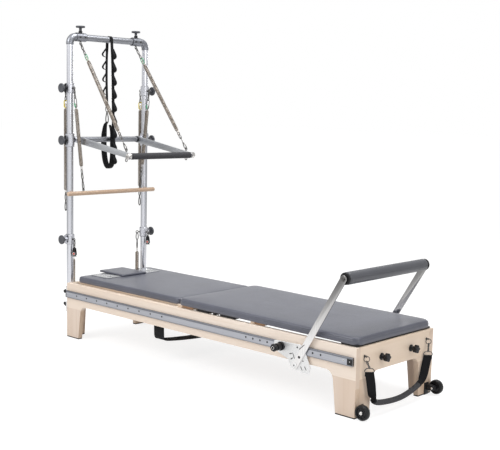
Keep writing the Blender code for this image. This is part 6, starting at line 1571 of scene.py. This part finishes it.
def pad_shell(x0, x1, half, low, top, corner, edge, crown, draw_in, seam=False):
    """An upholstered pad: flat below, rolled at its edges, with a crowned, uneven top."""
    shoulder = top - crown - edge
    under = 0.003
    height = shoulder - low - under
    reach = min(x1 - x0, 2 * half) / 2 - 0.002
    # Each ring: how far in from the outline, height, and share of the drawing in
    rings = [(0.010, low, 0.2), (under, low, 0.5)]
    rings += [(under * (1 - sin(a)), low + under * (1 - cos(a)), 1.0)
              for a in (pi / 2 * k / 3 for k in range(1, 4))]
    rings += [(-0.0011 * sin(pi * k / 6), low + under + height * k / 6, 1.0) for k in range(1, 7)]
    if seam:
        rings[-1] = (0.0014, shoulder, 1.0)
    rings += [(edge * (1 - cos(a)), shoulder + edge * sin(a), 0.9)
              for a in (pi / 2 * k / 8 for k in range(1, 9))]
    for t in (k / 12 for k in range(1, 13)):
        rise = (1 - sin(pi / 2 * min(1.0, t * 1.15))) ** 1.6
        rings.append((edge + (reach - edge) * t ** 1.35, top - crown * rise, 0.6 * (1 - t)))
    points = []
    for inset, z, drawn in rings:
        outline = pad_outline(x0, x1, half, inset, corner, draw_in * drawn)
        for p in outline:
            lift = 0.0
            if z > shoulder:
                spot = Vector((p.x * 6.0, p.y * 6.0, 0.4))
                lift = 0.0006 * noise.noise(spot) + 0.00025 * noise.noise(spot * 5.0)
                lift *= min(1.0, (z - shoulder) / edge)
            points.append(Vector((p.x, p.y, z + lift)))
    return skin(points, len(rings), len(outline))


def make_pad(name, shell, body, old):
    return piece(name, [shell], grey_vinyl, body, "vinyl", [old], 50.0)


def make_carriage():
    pad = make_pad("carriage_cover", pad_shell(CARRIAGE_HEAD, CARRIAGE_FOOT, 0.305, PAD_LOW,
                                               PAD_TOP, 0.030, 0.0130, 0.0025, 0.0015, True),
                   "carriage", "carriage_pad")
    head = make_pad("head_cover", pad_shell(0.030, 0.280, 0.100, SOCKET_LOW, 0.4193, 0.012,
                                            0.0048, 0.0018, 0.0010), "head_cushion", "headrest")
    board = block((0.090, -0.300, 0.350), (1.035, 0.300, 0.368), 0.0015)
    hangers = []
    for _, x in AXLES:
        outline = rounded([(x - 0.016, 0.3113, 0.006), (x + 0.016, 0.3113, 0.006),
                           (x + 0.016, 0.352, 0.0), (x - 0.016, 0.352, 0.0)], 6)
        hangers += [side_slab([outline], side, 0.260, 0.268, 0.0008, 1) for _, side in SIDES]
    pieces("carriage", "", ("carriage_ply", [board], birch_ply, "plywood", "carriage_board"),
           ("carriage_hangers", hangers, dark_steel, "plywood"))
    for name, x in AXLES:
        axle = side_rod(1.0, x, AXLE_Z, -0.2985, 0.2985, 0.005, 20, 0.0006)
        wheel = mm((5.2, 0), (8.5, 0), (8.5, 2), (16.5, 3), (18.5, 0.5), (20.5, 0.5), (22, 2.5),
                   (22, 17.5), (20.5, 19.5), (18.5, 19.5), (16.5, 17), (8.5, 18), (8.5, 20),
                   (5.2, 20))
        wheels = [side_lathe(wheel, side, x, 0.276, AXLE_Z, 40, closed=True) for _, side in SIDES]
        pieces(name + "_axle", name,
               ("axle_wheels_", wheels, black_plastic, "black_plastic", "axle_"),
               ("axle_rod_", [axle], bright_steel, "steel"))


def make_shoulder_plate(label, side):
    y0, y1 = sorted(side * y for y in SHOULDER_Y)
    middle = (y0 + y1) / 2
    (x0, x1), (large, small) = SHOULDER_X, SHOULDER_HOLES_X
    outline = rounded([(x0, y0, 0.010), (x1, y0, 0.010), (x1, y1, 0.010), (x0, y1, 0.010)], 6)
    holes = [circle(large, middle, 0.011, 32), circle(small, middle, 0.0046, 20)]
    socket = slab([outline] + holes, SOCKET_LOW, SOCKET_LOW + 0.003, FLAT, 0.0007, 2)
    wells = [lathe(mm((0, 0), (11.2, 0), (11.2, 1.4), (0, 1.4)),
                   (large, middle, SOCKET_LOW - 0.0003), Z_AXIS, 32),
             lathe(mm((0, 0), (4.8, 0), (4.8, 2.2), (0, 2.6)),
                   (small, middle, SOCKET_LOW - 0.0003), Z_AXIS, 24)]
    pieces("carriage", label,
           ("shoulder_socket_", [socket], foil, "steel", "shoulder_plate_"),
           ("shoulder_wells_", wells, black_plastic, "black_plastic"))


def make_spring_pack():
    coils, hooks = [], []
    bars = [block((x, -0.160, 0.292), (x + 0.012, 0.160, 0.3497), 0.0010) for x in (0.560, 0.990)]
    end_hook = ((1.110, PACK_Z), (1.135, PACK_Z), (1.160, 0.304), (1.176, 0.302), (1.183, 0.296),
                (1.178, 0.291), (1.170, 0.293))
    for y in ((i - 1.5) * 0.080 for i in range(4)):
        start, stop = Vector((0.575, y, PACK_Z)), Vector((1.118, y, PACK_Z))
        coils.append(tube(coil_path(start, stop, 0.0082, 150, 10), 0.0017, 6))
        hooks.append(rod((0.556, y, PACK_Z), (0.580, y, PACK_Z), 0.0042, 14, 0.0008))
        hooks.append(tube(smooth_path([(x, y, z) for x, z in end_hook], 5), 0.0024, 10))
    pieces("carriage", "", ("pack_coils", coils, spring_wire, "spring_steel", "carriage_springs"),
           ("pack_bars", bars, bright_steel, "steel"), ("pack_hooks", hooks, bright_steel, "steel"))
    bar = side_rod(1.0, SPRING_BAR_X, SPRING_BAR_Z, -0.2697, 0.2697, 0.008, 32, 0.001)
    piece("spring_catch", [bar], bright_steel, "frame", "steel", ["spring_bar"])


def mat_drop(x):
    """The mat's foot end lies a little lower than its head end."""
    return MAT_SETTLE * min(1.0, max(0.0, (x - MAT_HEAD) / (MAT_FOOT - MAT_HEAD)))


def settled(shell):
    return [Vector((p[0], p[1], p[2] - mat_drop(p[0]))) for p in shell[0]], shell[1]


def make_mat():
    cover = pad_shell(MAT_HEAD + 0.0036, MAT_FOOT, MAT_HALF, MAT_LOW, MAT_TOP, 0.044, 0.0150,
                      0.0040, 0.0015, True)
    pad = make_pad("mat_cover", settled(cover), "mat", "long_mat")
    panel = settled(block((1.055, -0.262, 0.3625), (2.333, 0.262, 0.3730), 0.001))
    low, high = BLOCK_LOW, MAT_LOW + 0.0012
    ends, boards, rests = [], [], []
    for x0, x1, x2 in ((1.047, 1.0815, 1.168), (1.622, 1.649, 1.720)):
        top = high - mat_drop(x2)
        ends.append(block((x0, -0.322, low), (x1, 0.322, top), 0.0012))
        boards.append(block((x1 + 0.0002, -0.318, low + 0.0012), (x2, 0.318, top), 0.0008))
    for x0, x1 in ((1.2065, 1.296), (1.332, 1.355), (1.387, 1.503), (2.235, 2.336)):
        rests += [side_block(side, (x0, 0.258, low + 0.0004), (x1, 0.320, high - mat_drop(x1)),
                             0.0015) for _, side in SIDES]
    rests.append(block((2.300, -0.322, low), (2.338, 0.322, MAT_LOW - 0.0055), 0.0012))
    pieces("mat", "", ("mat_panel", [panel], plywood, "plywood", "long_mat_board"),
           ("mat_battens", ends, maple_plain, "plywood"),
           ("mat_boards", boards, plywood, "plywood"),
           ("mat_rests", rests, black_plastic, "plywood"))


make_carriage()
for tag, sign in SIDES:
    make_shoulder_plate(tag, sign)
make_spring_pack()
make_mat()


# Straps, star knobs and transport wheels

def make_under_strap():
    x, reach = UNDER_STRAP_X, INNER_Y - 0.0023
    half = [(x, reach - back, z) for back, z in
            ((0.0, 0.255), (0.0006, 0.2175), (0.0025, 0.160), (0.0060, 0.140), (0.0160, 0.1285),
             (0.0400, 0.1225), (0.100, 0.1150), (0.180, 0.1075))]
    path = half + [(x, 0.0, 0.1000)] + [(x, -y, z) for x, y, z in reversed(half)]
    strap = sweep(smooth_path(path, 8), web_section(0.090, 0.0036), X_AXIS)
    piece("under_web", [strap], web_across, "frame", "webbing", ["under_strap"], 60.0)


HAND_PATH = ((2.380, -0.2725, 0.2310), (2.384, -0.261, 0.170), (2.384, -0.246, 0.106),
             (2.384, -0.216, 0.071), (2.384, -0.118, 0.0545), (2.382, 0.0, 0.0500),
             (2.380, 0.105, 0.0650), (2.378, 0.178, 0.0880), (2.376, 0.214, 0.118),
             (2.373, 0.238, 0.165), (2.371, 0.2610, 0.2230))
# A D ring, across the strap and up from its straight side
D_RING = ((-22.5, 0), (22.5, 0), (24, 4), (22.5, 11), (15, 18.5), (0, 21.5), (-15, 18.5),
          (-22.5, 11), (-24, 4))


def hand_web(run, side):
    """The flat web from an eye down to the handle, narrowing and thickening into it."""
    section = web_section(2.0, 2.0)
    points = []
    for i, (place, along) in enumerate(headings(run)):
        share = i / (len(run) - 1)
        across = (STRAP_TURN * -side).lerp(along.cross(X_AXIS), share ** 5)
        across = (across - along * across.dot(along)).normalized()
        out = along.cross(across)
        half = 0.0225 * (1 - 0.34 * share ** 4)
        thick = 0.0016 + 0.0040 * share ** 3
        bow = 0.0016 * sin(pi * share)
        points += [place + across * half * u + out * (thick * v + bow * (1 - u * u))
                   for u, v in section]
    return skin(points, len(run), len(section))


def make_foot_strap():
    """Flat webs hanging from the two eyes, joined by a padded handle under the end board."""
    path = smooth_path(HAND_PATH, 8)
    low = [i for i, p in enumerate(path) if p.z < 0.093]
    first, last = low[0], low[-1] + 1
    rings, hooks, webs, bands = [], [], [], []
    for run, side in ((path[:first + 3], -1.0), (path[last - 3:][::-1], 1.0)):
        end = run[0]
        webs.append(hand_web(run, side))
        fold = [end + Vector((0, 0, dz)) for dz in (0.0015, -0.0040, -0.0200)]
        webs.append(sweep(fold, web_section(0.0455, 0.0064), STRAP_TURN))
        bar = end + Vector((0, 0, 0.0005))
        rings.append(tube([bar + STRAP_TURN * y + Z_AXIS * z for y, z in mm(*D_RING)], 0.0023, 12,
                          closed=True))
        top = Vector((FRAME_LENGTH + 0.0160, side * FOOT_EYE.y, FOOT_EYE.z - 0.0250))
        drop = bar + Vector((0, 0, 0.0205)) - top
        pull, length = drop.normalized(), drop.length
        hooks += linked(top, pull, (("hook", -0.003, Y_AXIS, length * 0.55, 0.0062, 0.0020),
                                    ("rod", length * 0.50, length * 0.64, 0.0046, 16, 0.001),
                                    ("hook", length * 0.60, Y_AXIS, length * 0.44, 0.0058, 0.0019)))
    grip = path[first:last]
    radii = [0.0145] * len(grip)
    radii[:3], radii[-3:] = (0.0095, 0.0132, 0.0141), (0.0141, 0.0132, 0.0095)
    for place, other in ((grip[1], grip[2]), (grip[-2], grip[-3])):
        middle = (place + other) / 2
        along = (other - place).normalized()
        bands.append(rod(middle - along * 0.007, middle + along * 0.007, 0.0156, 28, 0.001))
    piece("hand_web", webs, web_upright, "hand_strap", "webbing", ["foot_strap"], 60.0)
    handle = piece("hand_grip", [tube(grip, radii, 28)], foam_black, "hand_strap", "foam",
                   sharp=50.0)
    pieces("hand_strap", "", ("hand_bands", bands, web_upright, "webbing"),
           ("hand_rings", rings, link_steel, "steel"), ("hand_hooks", hooks, link_steel, "steel"))


def make_star_knob(label, side):
    outline = []
    for angle in angles(100):
        radius = 0.0225 * (0.865 + 0.135 * cos(5 * angle) - 0.03 * cos(10 * angle))
        outline.append((side * STAR_Y + radius * cos(angle), STAR_Z + radius * sin(angle)))
    start = (FRAME_LENGTH, side * STAR_Y, STAR_Z)
    parts = [slab([outline], FRAME_LENGTH + 0.022, FRAME_LENGTH + 0.046, ACROSS_END, 0.0045, 4),
             lathe(mm((0, 0.3), (18.5, 0.3), (18.5, 4.5), (16.5, 6.2), (11.5, 8), (9.5, 11),
                      (9.2, 19), (12, 23), (0, 23)), start, X_AXIS, 40),
             lathe(mm((0, 48), (8, 47.8), (10, 46), (0, 42)), start, X_AXIS, 32)]
    piece("star_grip_" + label, parts, gloss_plastic, "star_" + label, "black_plastic",
          ["star_knob_" + label])


def make_castor(label, side):
    x, y, z = CASTOR
    tyre = side_lathe(mm((29, 3), (32.5, 0.5), (36, 1.5), (38.3, 5.5), (39, 11), (39, 19),
                         (38.3, 24.5), (36, 28.5), (32.5, 29.5), (29, 27)), side, x, y, z, 64,
                      closed=True)
    web = side_lathe(mm((5.4, 1), (11.5, 1), (12.5, 6), (27.5, 8), (29.3, 3), (29.3, 27),
                        (27.5, 22), (12.5, 24), (11.5, 29), (5.4, 29)), side, x, y, z, 48,
                     closed=True)
    hub = Vector((x, side * (y + 0.0232), z))
    spokes = [tube([hub + Vector((cos(a), 0, sin(a))) * reach for reach in (0.011, 0.0285)],
                   0.0022, 10) for a in angles(8)]
    pieces("wheel_" + label, label,
           ("castor_tyre_", [tyre], castor_rubber, "rubber", "transport_wheel_"),
           ("castor_hub_", [web] + spokes, gloss_plastic, "black_plastic"))
    end = FRAME_LENGTH
    fork = rounded([(end + 0.0005, 0.026, 0.002), (x + 0.0135, 0.0285, 0.0125),
                    (x + 0.0135, 0.0545, 0.0125), (end + 0.0005, 0.058, 0.002)], 8)
    bracket = [side_slab([fork], side, 0.286, 0.311, 0.0025, 3),
               side_block(side, (end + 0.0003, 0.272, 0.018), (end + 0.0048, 0.311, 0.066), 0.0012),
               side_block(side, (end - 0.030, 0.273, 0.0002), (end + 0.004, 0.310, 0.030), 0.001)]
    axle = [side_rod(side, x, z, y - 0.006, y + 0.0312, 0.0052, 24),
            side_lathe(mm((0, 4), (6, 3.8), (8.2, 2.2), (9.2, 0.4), (0, 0.4)), side, x, y + 0.0300,
                       z, 32),
            side_rod(side, x, z, y - 0.0320, y - 0.0280, 0.0070, 6, 0.0006)]
    pieces("frame", label,
           ("castor_bracket_", bracket, black_plastic, "black_plastic", "wheel_bracket_"),
           ("castor_axle_", axle, bright_steel, "steel"))


make_under_strap()
make_foot_strap()
for tag, sign in SIDES:
    make_star_knob(tag, sign)
    make_castor(tag, sign)
